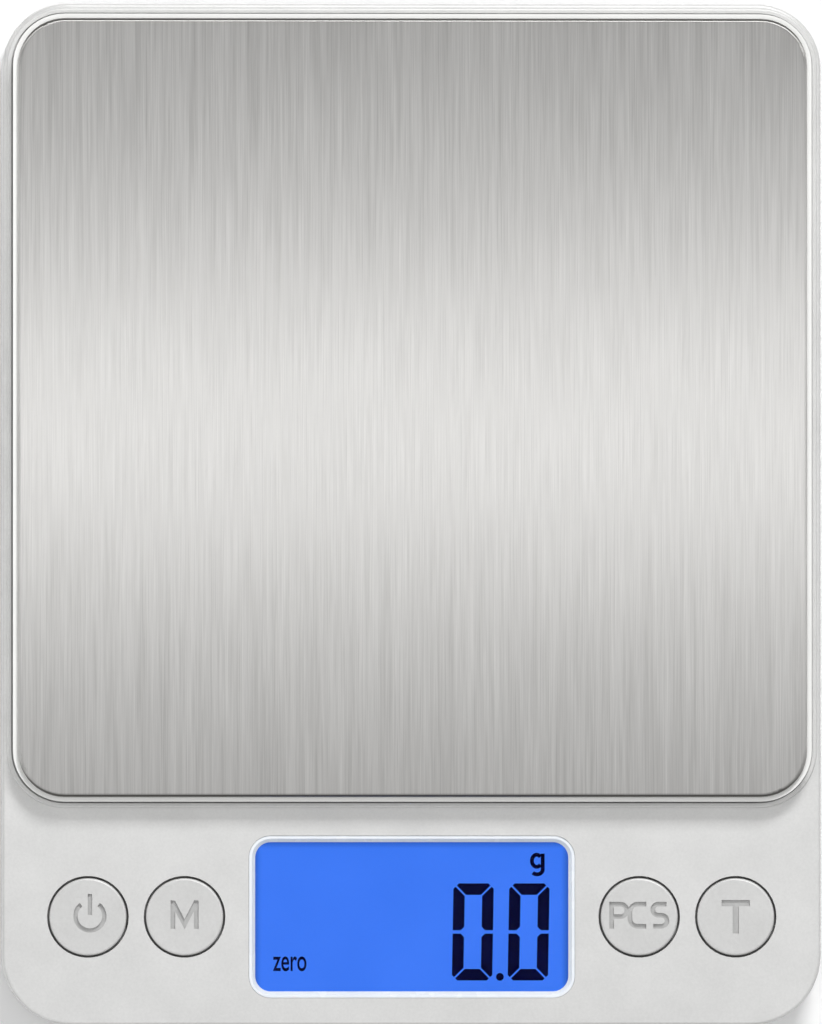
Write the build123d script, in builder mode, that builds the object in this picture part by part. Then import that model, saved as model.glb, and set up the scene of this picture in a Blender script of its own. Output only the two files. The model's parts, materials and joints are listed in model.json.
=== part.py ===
from build123d import *
import os

# Digital gram scale. Millimetres, +Z up, +X to the right, +Y to the back.
# The origin is on the table under the middle of the casing's outline.
os.makedirs("parts", exist_ok=True)

# ---------------------------------------------------------------------------
# Driving dimensions
# ---------------------------------------------------------------------------

# Casing
body_width = 105.0
body_depth = 131.0
front_radius = 9.0
back_radius = 8.2
foot_stand = 0.8
casing_wall = 1.8
floor_thickness = 2.0
parting_height = 8.0
parting_gap = 0.15
joint_lip_height = 0.9
joint_lip_clearance = 0.1
bottom_edge_radius = 1.5
shoulder_radius = 0.42

# Front panel and the well that the platform stands in
display_front_margin = 4.325
display_back_margin = 5.785
deck_thickness = 1.6
ceiling_clearance = 0.2
panel_step = 0.4
plate_overhang_gap = 1.96
well_clearance = 0.8
bead_width = 0.6
bead_height = 0.25
bead_edge_radius = 0.2
platform_travel_room = 0.8
stop_radius = 3.0
stop_inset = 9.0
boss_opening_margin = 1.2
boss_opening_radius = 1.5

# Platform
plate_radius = 6.0
plate_side_gap = 1.9
plate_thickness = 0.5
plate_skirt_depth = 0.9
plate_edge_radius = 0.5
tape_thickness = 0.5
tape_width = 12.0
tape_inset = 15.0
carrier_lip_width = 0.6
carrier_web = 1.8
carrier_rib_depth = 0.8
carrier_rib_width = 2.0
carrier_clearance = 0.15

# Load cell, a beam of aluminium with a binocular hole
cell_length = 70.0
cell_width = 12.0
cell_height = 8.0
cell_hole_radius = 2.6
cell_hole_pitch = 15.0
cell_slot_height = 1.6
cell_screw_spacing = 10.0
cell_screw_inset = 5.0
cell_boss_height = 1.0
cell_spacer_thickness = 0.8
cell_screw_radius = 1.5
cell_screw_head_radius = 2.75
cell_screw_head_height = 1.6
cell_screw_slot = (3.2, 0.7, 0.9)
base_thread_reach = 5.4
platform_thread_reach = 5.0
cell_end_chamfer = 0.5
grub_recess = 0.3
grub_socket_radius = 0.8
grub_socket_depth = 1.2
head_recess = 0.2
thread_clearance = 0.05
shank_clearance = 0.1
self_tap_clearance = 0.2
head_clearance = 0.25
blind_hole_roof = 0.6
drill_depth = 20.0
overload_gap = 0.5
gauge_coat_length = 17.0
gauge_coat_thickness = 0.9

# Buttons and their tactile switches
button_radius = 4.95
button_gap = 0.29
button_side_gap = 5.04
button_between_gap = 0.59
button_proud = 0.3
button_flange = 0.95
button_flange_thickness = 0.8
button_edge_radius = 0.25
button_float = 0.1
legend_depth = 0.4
legend_stroke = 0.6
power_stroke = 0.55
tare_stroke = 0.8
switch_size = 6.0
switch_corner = 0.4
switch_body_height = 3.5
switch_height = 4.9
plunger_radius = 1.7
plunger_clearance = 0.06
plunger_travel_room = 0.6
plunger_well_depth = 1.8

# Display
window_height = 19.15
window_radius = 2.0
window_to_flange = 3.17
bezel_border = 0.8
bezel_fit = 0.04
bezel_flange = 1.2
bezel_flange_thickness = 0.8
bezel_recess = 0.1
bezel_lip = 0.7
lens_thickness = 1.2
lens_lap = 0.35
lens_fit = 0.05
bezel_chamfer_depth = 0.49
bezel_chamfer_width = 0.44
glass_thickness = 0.9
polarizer_thickness = 0.2
film_side_gap = 0.4
film_end_gap = 0.3
guide_side_gap = 1.5
zebra_end_gap = 2.0
zebra_ledge_gap = 0.2
stack_corner = 0.4
display_air_gap = 0.3
glass_side_margin = 1.1
glass_end_margin = 0.65
contact_ledge = 1.9
lcd_frame_wall = 0.6
lcd_frame_clearance = 0.1
lcd_frame_drop = 0.9

# Circuit board
board_thickness = 1.2
board_edge_margin = 0.12
board_side_margin = 5.5
board_screw_inset = 3.25
board_screw_head_height = 1.2
board_corner = 6.0
board_screw_radius = 0.9
board_screw_reach = 3.6
board_screw_slot = (2.0, 0.5, 0.6)
board_boss_radius = 2.2
chip_cover_radius = 6.0
chip_cover_height = 1.6
chip_cover_edge = 1.2
capacitor_radius = 2.0
capacitor_height = 3.2
capacitor_offset = 4.0
crystal_size = (8.0, 3.2, 1.8)
chip_part_size = (1.6, 0.8, 0.6)
chip_part_pitch = (3.0, 3.4)

# Case screws
case_screw_radius = 1.15
case_screw_head_radius = 2.3
case_screw_head_height = 1.4
case_screw_head_chamfer = 0.3
case_screw_slot = (2.6, 0.6, 0.8)
case_screw_end_gap = 1.0
case_screw_recess = 2.7
case_boss_radius = 3.3
upper_boss_relief = 0.5
case_boss_inset = 6.5
case_boss_to_board = 1.355
case_boss_back = 21.5

# Feet
foot_radius = 5.0
foot_inset = 9.5
foot_recess = 0.8
foot_clearance = 0.15

# Battery bay and its two AAA cells, side by side along X
battery_radius = 5.25
battery_length = 44.5
battery_nub_radius = 1.9
battery_nub_length = 1.2
battery_edge = 0.5
battery_gap = 0.3
battery_door_gap = 0.15
battery_roof_gap = 0.25
bay_wall = 1.2
bay_roof = 0.7
bay_rib_height = 1.8
bay_rib_width = 1.0
bay_rib_end_gap = 10.0
bay_side_gap = 0.55
bay_to_back_wall = 3.3
latch_room = 3.75
contact_thickness = 0.4
contact_dimple = 0.8
contact_tail = 2.4
contact_height = 8.4
dimple_radius = 2.2
tail_width = 3.0
tail_thickness = 0.4
tail_side_gap = 0.3
tail_face_gap = 0.2
tail_rise = 1.5
spring_room = 6.7
spring_wire_radius = 0.3
spring_radius = 3.3
spring_taper = 10.0
spring_turns = 4

# Battery door
door_thickness = 1.4
door_clearance = 0.25
door_tab_width = 7.0
door_tab_spacing = 30.0
door_tab_reach = 3.2
door_tab_thickness = 1.0
tab_side_gap = 0.3
tab_slot_headroom = 0.2
tab_root = 0.2
tab_offset = 0.3
tab_lift = 0.1
grip_groove_depth = 0.3
grip_groove_width = 0.8
grip_groove_pitch = 1.6
grip_groove_count = 4
grip_groove_overlap = 3.0
grip_to_latch = 6.5
door_corner = 0.6
latch_window_height = 1.6
latch_width = 10.0
latch_wall = 0.8
latch_rise = 5.0
latch_side_gap = 0.5
latch_slope = 0.9
latch_bend = 0.7
leg_gap = 0.25
notch_side = 2.0
notch_depth = 0.9
notch_reach = 2.4

# Overlap that lets a cut pass clean through a wall
cut_through = 0.1

# Wiring
wire_diameter = 0.8
wire_bend_radius = 4.0
wire_rise = 1.2
wire_end_height = 0.6
solder_size = 1.4
solder_height = 1.2
solder_edge = 0.4
solder_inset = 1.6
wire_turn_gap = 7.0
wire_drop_gap = 2.5
cell_pad_offset = 8.6
cell_pad_pitch = 1.9
battery_pad_offset = 7.0
battery_pad_pitch = 2.4
cell_wire_offset = 5.6
cell_wire_pitch = 1.6

# ---------------------------------------------------------------------------
# Levels and places worked out from them
# ---------------------------------------------------------------------------

# heights, from the table upwards: the ceiling clears the battery bay and the load cell
underside_z = foot_stand
floor_z = underside_z + floor_thickness
battery_z = underside_z + door_thickness + battery_door_gap + battery_radius
bay_roof_z = battery_z + battery_radius + battery_roof_gap
tail_z = battery_z + tail_rise
cell_bottom_z = floor_z + cell_boss_height + cell_spacer_thickness
cell_top_z = cell_bottom_z + cell_height
boss_bottom_z = cell_top_z + cell_spacer_thickness
ceiling_z = max(bay_roof_z + bay_roof, cell_top_z + gauge_coat_thickness) + ceiling_clearance
deck_z = ceiling_z + deck_thickness
panel_z = deck_z + panel_step
carrier_bottom_z = deck_z + platform_travel_room
web_bottom_z = carrier_bottom_z + carrier_rib_depth
carrier_top_z = web_bottom_z + carrier_web
tape_top_z = carrier_top_z + tape_thickness
plate_top_z = tape_top_z + plate_thickness
skirt_bottom_z = plate_top_z - plate_skirt_depth

# front panel: its depth follows the display, and the plate fills the casing behind it
panel_depth = display_front_margin + window_height + display_back_margin
plate_width = body_width - 2 * plate_side_gap
plate_back_y = body_depth / 2 - plate_overhang_gap
plate_front_y = -body_depth / 2 + panel_depth
plate_depth = plate_back_y - plate_front_y
plate_y = (plate_back_y + plate_front_y) / 2

# row of keys with the display in its middle
flange_radius = button_radius + button_flange
button_pitch = 2 * flange_radius + button_between_gap
button_row_y = -body_depth / 2 + display_front_margin + window_height / 2
outer_button_x = body_width / 2 - button_side_gap - flange_radius
inner_button_x = outer_button_x - button_pitch
flange_top_z = ceiling_z - button_float
flange_bottom_z = flange_top_z - button_flange_thickness
board_top_z = flange_bottom_z - switch_height
board_bottom_z = board_top_z - board_thickness
well_floor_z = board_top_z + switch_body_height - plunger_well_depth

# display, from the bezel down to the board
window_width = 2 * (inner_button_x - flange_radius - window_to_flange)
bezel_width = window_width + 2 * bezel_border
bezel_height = window_height + 2 * bezel_border
bezel_top_z = panel_z - bezel_recess
bezel_flange_z = ceiling_z - bezel_flange_thickness
lens_top_z = bezel_top_z - bezel_lip
stack_top_z = bezel_flange_z - display_air_gap
front_glass_z = stack_top_z - polarizer_thickness - glass_thickness
rear_glass_z = front_glass_z - glass_thickness
guide_top_z = rear_glass_z - polarizer_thickness
glass_width = window_width + 2 * glass_side_margin
glass_height = window_height + 2 * glass_end_margin
front_glass_height = glass_height + contact_ledge
front_glass_y = button_row_y + contact_ledge / 2
ledge_y = button_row_y + (glass_height + contact_ledge) / 2
frame_width = glass_width + 2 * lcd_frame_clearance + 2 * lcd_frame_wall
frame_depth = front_glass_height + 2 * lcd_frame_clearance + 2 * lcd_frame_wall

# circuit board, as deep as the display's frame
board_width = body_width - 2 * board_side_margin
board_depth = frame_depth + 2 * board_edge_margin
board_front_y = front_glass_y - board_depth / 2
board_back_y = front_glass_y + board_depth / 2

# load cell along X under the middle of the plate, fixed at its left end
fixed_screw_x = [-cell_length / 2 + cell_screw_inset + n * cell_screw_spacing for n in (0, 1)]
moving_screw_x = [-x for x in fixed_screw_x]
cell_pad_length = cell_screw_spacing + 2 * cell_screw_inset - 1.0
cell_pad_x = (fixed_screw_x[0] + fixed_screw_x[1]) / 2

# battery bay along X near the back, with room for the latch behind the cells
bay_back_y = body_depth / 2 - casing_wall - bay_to_back_wall
bay_front_y = bay_back_y - latch_room - 4 * battery_radius - battery_gap - bay_side_gap
front_battery_y = bay_front_y + bay_side_gap + battery_radius
back_battery_y = front_battery_y + 2 * battery_radius + battery_gap
bay_depth = bay_back_y - bay_front_y
bay_y = (bay_front_y + bay_back_y) / 2
bay_half = (battery_length + spring_room + 2 * contact_thickness + contact_dimple) / 2

# battery door: its tabs turn about the outer edge of its front side
door_half = bay_half - door_clearance
door_axis_y = bay_front_y + door_clearance
door_back_y = bay_back_y - door_clearance
door_top_z = underside_z + door_thickness
tab_bottom_z = floor_z + tab_lift
tab_top_z = tab_bottom_z + door_tab_thickness
tab_sweep = ((door_tab_reach + 0.5) ** 2 + (tab_top_z - underside_z) ** 2) ** 0.5

case_screw_places = [
    (side * (body_width / 2 - case_boss_inset), y)
    for side in (-1, 1)
    for y in (board_back_y + case_boss_to_board + case_boss_radius, body_depth / 2 - case_boss_back)
]
board_screw_places = [
    (side * x, y)
    for side in (-1, 1)
    for x, y in (
        (board_width / 2 - board_screw_inset, board_back_y - board_screw_inset),
        (outer_button_x - button_pitch / 2, board_front_y + board_screw_inset),
    )
]
foot_places = {
    "front_left": (-body_width / 2 + foot_inset, -body_depth / 2 + foot_inset),
    "front_right": (body_width / 2 - foot_inset, -body_depth / 2 + foot_inset),
    "back_left": (-body_width / 2 + foot_inset, body_depth / 2 - foot_inset),
    "back_right": (body_width / 2 - foot_inset, body_depth / 2 - foot_inset),
}
button_x = {
    "power": -outer_button_x,
    "mode": -inner_button_x,
    "count": inner_button_x,
    "tare": outer_button_x,
}


def casing_outline(inset):
    """Plan of the casing, inset from its outer face."""
    with BuildSketch(mode=Mode.PRIVATE) as outline:
        Rectangle(body_width - 2 * inset, body_depth - 2 * inset)
        fillet(outline.vertices().group_by(Axis.Y)[0], front_radius - inset)
        fillet(outline.vertices().group_by(Axis.Y)[-1], back_radius - inset)
    return outline.sketch


def plate_outline(outset):
    """Plan of the weighing plate, grown outwards by outset (negative shrinks it)."""
    with BuildSketch(mode=Mode.PRIVATE) as outline:
        with Locations((0, plate_y)):
            RectangleRounded(
                plate_width + 2 * outset, plate_depth + 2 * outset, plate_radius + outset
            )
    return outline.sketch


def cross(places, length, width):
    """The cross slot of a screw head, at each place of the open sketch."""
    with Locations(*places):
        Rectangle(length, width)
        Rectangle(width, length)


casing_outer = casing_outline(0)
casing_inner = casing_outline(casing_wall)
joint_lip_outer = casing_outline(casing_wall / 2 + joint_lip_clearance / 2)
joint_rebate = casing_outline(casing_wall / 2 - joint_lip_clearance / 2)
well_outline = plate_outline(well_clearance)
bead_outline = plate_outline(well_clearance + bead_width)
lip_outline = plate_outline(carrier_lip_width)
carrier_outline = plate_outline(-plate_thickness - carrier_clearance)
plate_outer = plate_outline(0)
plate_inner = plate_outline(-plate_thickness)

# ---------------------------------------------------------------------------
# Casing
# ---------------------------------------------------------------------------

# Lower half: floor, side wall with a lip for the upper half, battery bay,
# bosses for the case screws and the pad that carries the load cell.
with BuildPart() as base_shell:
    with BuildSketch(Plane.XY.offset(underside_z)):
        add(casing_outer)
    extrude(amount=parting_height - underside_z)
    fillet(base_shell.faces().sort_by(Axis.Z)[0].edges(), bottom_edge_radius)
    with BuildSketch(Plane.XY.offset(floor_z)):
        add(casing_inner)
    extrude(amount=parting_height - floor_z, mode=Mode.SUBTRACT)
    with BuildSketch(Plane.XY.offset(parting_height - 1)):
        add(joint_lip_outer)
        add(casing_inner, mode=Mode.SUBTRACT)
    extrude(amount=1 + joint_lip_height)
    # case screw bosses
    with BuildSketch(Plane.XY.offset(floor_z)):
        with Locations(*case_screw_places):
            Circle(case_boss_radius)
    extrude(amount=parting_height - floor_z)
    # pad under the fixed end of the load cell, and the boss for the overload screw
    with BuildSketch(Plane.XY.offset(floor_z)):
        with Locations((cell_pad_x, plate_y)):
            Rectangle(cell_pad_length, cell_width)
        with Locations((moving_screw_x[0], plate_y)):
            Circle(case_boss_radius)
    extrude(amount=cell_boss_height)
    # battery bay: a box open downwards
    with BuildSketch(Plane.XY.offset(floor_z)):
        with Locations((0, bay_y)):
            Rectangle(2 * (bay_half + bay_wall), bay_depth + 2 * bay_wall)
    extrude(amount=bay_roof_z + bay_roof - floor_z)
    with BuildSketch(Plane.XY.offset(underside_z)):
        with Locations((0, bay_y)):
            Rectangle(2 * bay_half, bay_depth)
    extrude(amount=bay_roof_z - underside_z, mode=Mode.SUBTRACT)
    # rib between the two cells, hanging from the roof
    with BuildSketch(Plane.XY.offset(bay_roof_z - bay_rib_height)):
        with Locations((0, (front_battery_y + back_battery_y) / 2)):
            Rectangle(2 * (bay_half - bay_rib_end_gap), bay_rib_width)
    extrude(amount=bay_rib_height)
    # slots for the door's two tabs, and the window for the latch's nose
    with BuildSketch(Plane.XY.offset(floor_z)):
        with Locations((0, bay_front_y - bay_wall / 2)):
            with GridLocations(door_tab_spacing, 1, 2, 1):
                Rectangle(door_tab_width + 2 * tab_side_gap, bay_wall + 2 * cut_through)
    extrude(amount=underside_z + tab_sweep + tab_slot_headroom - floor_z, mode=Mode.SUBTRACT)
    with BuildSketch(Plane.XY.offset(floor_z)):
        with Locations((0, bay_back_y + bay_wall / 2)):
            Rectangle(latch_width + 2 * latch_side_gap, bay_wall + 2 * cut_through)
    extrude(amount=latch_window_height, mode=Mode.SUBTRACT)
    # finger notch beside the latch
    with BuildSketch(Plane.XY.offset(underside_z)):
        with Locations((0, bay_back_y + notch_depth)):
            Rectangle(latch_width + 2 * notch_side, notch_reach)
    extrude(amount=notch_depth, mode=Mode.SUBTRACT)
    # slots for the two single contacts' solder tails
    with BuildSketch(Plane.YZ.offset(bay_half - cut_through)):
        with Locations((front_battery_y, tail_z), (back_battery_y, tail_z)):
            Rectangle(tail_width + 2 * tail_side_gap, tail_thickness + 2 * tail_face_gap)
    extrude(amount=bay_wall + 2 * cut_through, mode=Mode.SUBTRACT)
    # screw holes, from underneath
    with Locations(Plane.XY.offset(underside_z)):
        with Locations(*[Location((x, y, 0), (180, 0, 0)) for x, y in case_screw_places]):
            CounterBoreHole(
                case_screw_radius + self_tap_clearance,
                case_screw_head_radius + head_clearance,
                case_screw_recess,
                drill_depth,
            )
        with Locations(*[Location((x, plate_y, 0), (180, 0, 0)) for x in fixed_screw_x]):
            CounterBoreHole(
                cell_screw_radius + shank_clearance,
                cell_screw_head_radius + head_clearance,
                cell_screw_head_height + head_recess,
                drill_depth,
            )
        with Locations(Location((moving_screw_x[0], plate_y, 0), (180, 0, 0))):
            Hole(cell_screw_radius + thread_clearance, drill_depth)
        # pockets for the feet
        with Locations(*[Location((x, y, 0), (180, 0, 0)) for x, y in foot_places.values()]):
            Hole(foot_radius + foot_clearance, foot_recess)
base_shell.part.label = "base_shell"
export_step(base_shell.part, "parts/base_shell.step")

# Upper half: front panel with the button and display openings, and the well
# with its raised bead, whose deck lies under the platform.
with BuildPart() as top_shell:
    with BuildSketch(Plane.XY.offset(parting_height + parting_gap)):
        add(casing_outer)
    extrude(amount=panel_z - parting_height - parting_gap)
    fillet(top_shell.faces().sort_by(Axis.Z)[-1].edges(), shoulder_radius)
    with BuildSketch(Plane.XY.offset(deck_z)):
        add(bead_outline)
    extrude(amount=panel_step + bead_height)
    fillet(top_shell.faces().sort_by(Axis.Z)[-1].edges(), bead_edge_radius)
    with BuildSketch(Plane.XY.offset(deck_z)):
        add(well_outline)
    extrude(amount=panel_step + bead_height, mode=Mode.SUBTRACT)
    with BuildSketch(Plane.XY.offset(parting_height)):
        add(casing_inner)
    extrude(amount=ceiling_z - parting_height, mode=Mode.SUBTRACT)
    with BuildSketch(Plane.XY.offset(parting_height)):
        add(joint_rebate)
    extrude(amount=joint_lip_height + 2 * joint_lip_clearance, mode=Mode.SUBTRACT)
    # opening for the platform's boss, and four stops under its corners
    with BuildSketch(Plane.XY.offset(ceiling_z)):
        with Locations((-cell_pad_x, plate_y)):
            RectangleRounded(
                cell_pad_length + 2 * boss_opening_margin,
                cell_width + 2 * boss_opening_margin,
                boss_opening_radius,
            )
    extrude(amount=deck_z - ceiling_z, mode=Mode.SUBTRACT)
    with BuildSketch(Plane.XY.offset(deck_z)):
        with Locations((0, plate_y)):
            with GridLocations(plate_width - 2 * stop_inset, plate_depth - 2 * stop_inset, 2, 2):
                Circle(stop_radius)
    extrude(amount=platform_travel_room - overload_gap)
    # bosses for the case screws and for the circuit board
    with BuildSketch(Plane.XY.offset(parting_height + parting_gap)):
        with Locations(*case_screw_places):
            Circle(case_boss_radius - upper_boss_relief)
    extrude(amount=ceiling_z - parting_height - parting_gap)
    with BuildSketch(Plane.XY.offset(board_top_z)):
        with Locations(*board_screw_places):
            Circle(board_boss_radius)
    extrude(amount=ceiling_z - board_top_z)
    with BuildSketch(Plane.XY.offset(parting_height + parting_gap)):
        with Locations(*case_screw_places):
            Circle(case_screw_radius + thread_clearance)
    extrude(amount=ceiling_z - parting_height - blind_hole_roof, mode=Mode.SUBTRACT)
    with BuildSketch(Plane.XY.offset(board_top_z)):
        with Locations(*board_screw_places):
            Circle(board_screw_radius + thread_clearance)
    extrude(amount=ceiling_z - board_top_z - blind_hole_roof, mode=Mode.SUBTRACT)
    # openings in the front panel
    with BuildSketch(Plane.XY.offset(ceiling_z)):
        with Locations(*[(x, button_row_y) for x in button_x.values()]):
            Circle(button_radius + button_gap)
        with Locations((0, button_row_y)):
            RectangleRounded(
                bezel_width + 2 * bezel_fit,
                bezel_height + 2 * bezel_fit,
                window_radius + bezel_border + bezel_fit,
            )
    extrude(amount=panel_z - ceiling_z, mode=Mode.SUBTRACT)
top_shell.part.label = "top_shell"
export_step(top_shell.part, "parts/top_shell.step")

# Rubber feet, glued into pockets under the corners.
for corner, (x, y) in foot_places.items():
    with BuildPart() as foot:
        with BuildSketch(Plane.XY):
            with Locations((x, y)):
                Circle(foot_radius)
        extrude(amount=foot_stand + foot_recess)
        fillet(foot.faces().sort_by(Axis.Z)[0].edges(), foot_stand / 2)
    foot.part.label = f"foot_{corner}"
    export_step(foot.part, f"parts/foot_{corner}.step")

# Self-tapping screws that pull the upper half down onto the lower one.
case_screw_head_z = underside_z + case_screw_recess
with BuildPart() as case_screws:
    with BuildSketch(Plane.XY.offset(case_screw_head_z - case_screw_head_height)):
        with Locations(*case_screw_places):
            Circle(case_screw_head_radius)
    extrude(amount=case_screw_head_height)
    chamfer(case_screws.faces().group_by(Axis.Z)[0].edges(), case_screw_head_chamfer)
    with BuildSketch(Plane.XY.offset(case_screw_head_z)):
        with Locations(*case_screw_places):
            Circle(case_screw_radius)
    extrude(amount=ceiling_z - case_screw_end_gap - case_screw_head_z)
    with BuildSketch(Plane.XY.offset(case_screw_head_z - case_screw_head_height)):
        cross(case_screw_places, *case_screw_slot[:2])
    extrude(amount=case_screw_slot[2], mode=Mode.SUBTRACT)
case_screws.part.label = "case_screws"
export_step(case_screws.part, "parts/case_screws.step")

# ---------------------------------------------------------------------------
# Display
# ---------------------------------------------------------------------------

# White frame that shows round the window: a flange glued under the panel, a
# bevelled lip on top, and a pocket that holds the clear lens from below.
with BuildPart() as display_bezel:
    with BuildSketch(Plane.XY.offset(bezel_flange_z)):
        with Locations((0, button_row_y)):
            RectangleRounded(
                bezel_width + 2 * bezel_flange, bezel_height + 2 * bezel_flange, window_radius
            )
    extrude(amount=bezel_flange_thickness)
    with BuildSketch(Plane.XY.offset(ceiling_z)):
        with Locations((0, button_row_y)):
            RectangleRounded(bezel_width, bezel_height, window_radius + bezel_border)
    extrude(amount=bezel_top_z - ceiling_z)
    with BuildSketch(Plane.XY.offset(bezel_flange_z)):
        with Locations((0, button_row_y)):
            RectangleRounded(window_width, window_height, window_radius)
    extrude(amount=bezel_top_z - bezel_flange_z, mode=Mode.SUBTRACT)
    window_rim = display_bezel.faces().sort_by(Axis.Z)[-1].inner_wires()[0].edges()
    chamfer(window_rim, bezel_chamfer_depth, bezel_chamfer_width)
    with BuildSketch(Plane.XY.offset(bezel_flange_z)):
        with Locations((0, button_row_y)):
            RectangleRounded(
                window_width + 2 * lens_lap, window_height + 2 * lens_lap, window_radius + lens_lap
            )
    extrude(amount=lens_top_z - bezel_flange_z, mode=Mode.SUBTRACT)
display_bezel.part.label = "display_bezel"
export_step(display_bezel.part, "parts/display_bezel.step")

with BuildPart() as display_lens:
    with BuildSketch(Plane.XY.offset(lens_top_z - lens_thickness)):
        with Locations((0, button_row_y)):
            RectangleRounded(
                window_width + 2 * (lens_lap - lens_fit),
                window_height + 2 * (lens_lap - lens_fit),
                window_radius + lens_lap - lens_fit,
            )
    extrude(amount=lens_thickness)
display_lens.part.label = "display_lens"
export_step(display_lens.part, "parts/display_lens.step")

# The liquid crystal cell and its backlight, a stack that stands on the board.
# The front glass reaches further back than the rear one: its ledge rests on
# the zebra strip, which carries the signals up from the board.
film_width = glass_width - 2 * film_side_gap
film_depth = glass_height - 2 * film_end_gap
stack_layers = {
    "front_polarizer": (film_width, button_row_y, film_depth, front_glass_z + glass_thickness, stack_top_z),
    "lcd_front_glass": (
        glass_width, front_glass_y, front_glass_height, front_glass_z, front_glass_z + glass_thickness
    ),
    "lcd_rear_glass": (glass_width, button_row_y, glass_height, rear_glass_z, front_glass_z),
    "rear_polarizer": (film_width, button_row_y, film_depth, guide_top_z, rear_glass_z),
    "backlight_guide": (
        glass_width - 2 * guide_side_gap,
        button_row_y,
        glass_height,
        board_top_z,
        guide_top_z,
    ),
    "zebra_strip": (
        glass_width - 2 * zebra_end_gap,
        ledge_y,
        contact_ledge - 2 * zebra_ledge_gap,
        board_top_z,
        front_glass_z,
    ),
}
for name, (width, centre_y, depth, bottom, top) in stack_layers.items():
    with BuildPart() as layer:
        with BuildSketch(Plane.XY.offset(bottom)):
            with Locations((0, centre_y)):
                RectangleRounded(width, depth, stack_corner)
        extrude(amount=top - bottom)
    layer.part.label = name
    export_step(layer.part, f"parts/{name}.step")

# Open frame round the stack, which keeps it square on the board.
with BuildPart() as lcd_frame:
    with BuildSketch(Plane.XY.offset(board_top_z)):
        with Locations((0, front_glass_y)):
            Rectangle(frame_width, frame_depth)
            Rectangle(
                frame_width - 2 * lcd_frame_wall, frame_depth - 2 * lcd_frame_wall, mode=Mode.SUBTRACT
            )
    extrude(amount=stack_top_z - lcd_frame_drop - board_top_z)
lcd_frame.part.label = "lcd_frame"
export_step(lcd_frame.part, "parts/lcd_frame.step")

# ---------------------------------------------------------------------------
# Circuit board
# ---------------------------------------------------------------------------

with BuildPart() as main_board:
    with BuildSketch(Plane.XY.offset(board_bottom_z)) as board_plan:
        with Locations((0, front_glass_y)):
            Rectangle(board_width, board_depth)
        chamfer(board_plan.vertices().group_by(Axis.Y)[0], board_corner)
        with Locations(*board_screw_places):
            Circle(board_screw_radius + self_tap_clearance, mode=Mode.SUBTRACT)
    extrude(amount=board_thickness)
main_board.part.label = "main_board"
export_step(main_board.part, "parts/main_board.step")

with BuildPart() as board_screws:
    with BuildSketch(Plane.XY.offset(board_bottom_z - board_screw_head_height)):
        with Locations(*board_screw_places):
            Circle(board_screw_radius * 2)
    extrude(amount=board_screw_head_height)
    with BuildSketch(Plane.XY.offset(board_bottom_z)):
        with Locations(*board_screw_places):
            Circle(board_screw_radius)
    extrude(amount=board_thickness + board_screw_reach)
    with BuildSketch(Plane.XY.offset(board_bottom_z - board_screw_head_height)):
        cross(board_screw_places, *board_screw_slot[:2])
    extrude(amount=board_screw_slot[2], mode=Mode.SUBTRACT)
board_screws.part.label = "board_screws"
export_step(board_screws.part, "parts/board_screws.step")

# Potted controller chip: a low black dome under the board.
with BuildPart() as chip_cover:
    with BuildSketch(Plane.XY.offset(board_bottom_z - chip_cover_height)):
        with Locations((-inner_button_x / 3, button_row_y)):
            Circle(chip_cover_radius)
    extrude(amount=chip_cover_height)
    fillet(chip_cover.faces().sort_by(Axis.Z)[0].edges(), chip_cover_edge)
chip_cover.part.label = "chip_cover"
export_step(chip_cover.part, "parts/chip_cover.step")

# Loose parts under the board: two can capacitors, a crystal, chip resistors
# and capacitors in two rows.
with BuildPart() as board_parts:
    with BuildSketch(Plane.XY.offset(board_bottom_z - capacitor_height)):
        with Locations((inner_button_x / 2, button_row_y)):
            with GridLocations(1, 2 * capacitor_offset, 1, 2):
                Circle(capacitor_radius)
    extrude(amount=capacitor_height)
    with BuildSketch(Plane.XY.offset(board_bottom_z - crystal_size[2])):
        with Locations((inner_button_x, button_row_y)):
            SlotOverall(*crystal_size[:2], rotation=90)
    extrude(amount=crystal_size[2])
    with BuildSketch(Plane.XY.offset(board_bottom_z - chip_part_size[2])):
        with Locations((-inner_button_x, button_row_y)):
            with GridLocations(*chip_part_pitch, 3, 4):
                Rectangle(*chip_part_size[:2])
    extrude(amount=chip_part_size[2])
board_parts.part.label = "board_parts"
export_step(board_parts.part, "parts/board_parts.step")

# ---------------------------------------------------------------------------
# Buttons: a cap above the panel, its switch on the board and the plunger
# between them. Cap and plunger travel together.
# ---------------------------------------------------------------------------

# The letters are drawn as strokes round the middle of their key.
with BuildSketch(mode=Mode.PRIVATE) as power_legend:
    with BuildLine():
        CenterArc((0.25, 0.1), 1.85, 128, 284)
    trace(line_width=power_stroke)
    with Locations((0.25, 1.6)):
        Rectangle(power_stroke, 2.7)
with BuildSketch(mode=Mode.PRIVATE) as mode_legend:
    with BuildLine():
        Polyline((-1.5, -1.55), (-1.5, 2.1))
        Polyline((1.5, -1.55), (1.5, 2.1))
    trace(line_width=legend_stroke)
    with BuildLine():
        Polyline((-1.5, 1.95), (0, -0.95), (1.5, 1.95))
    trace(line_width=legend_stroke)

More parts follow.
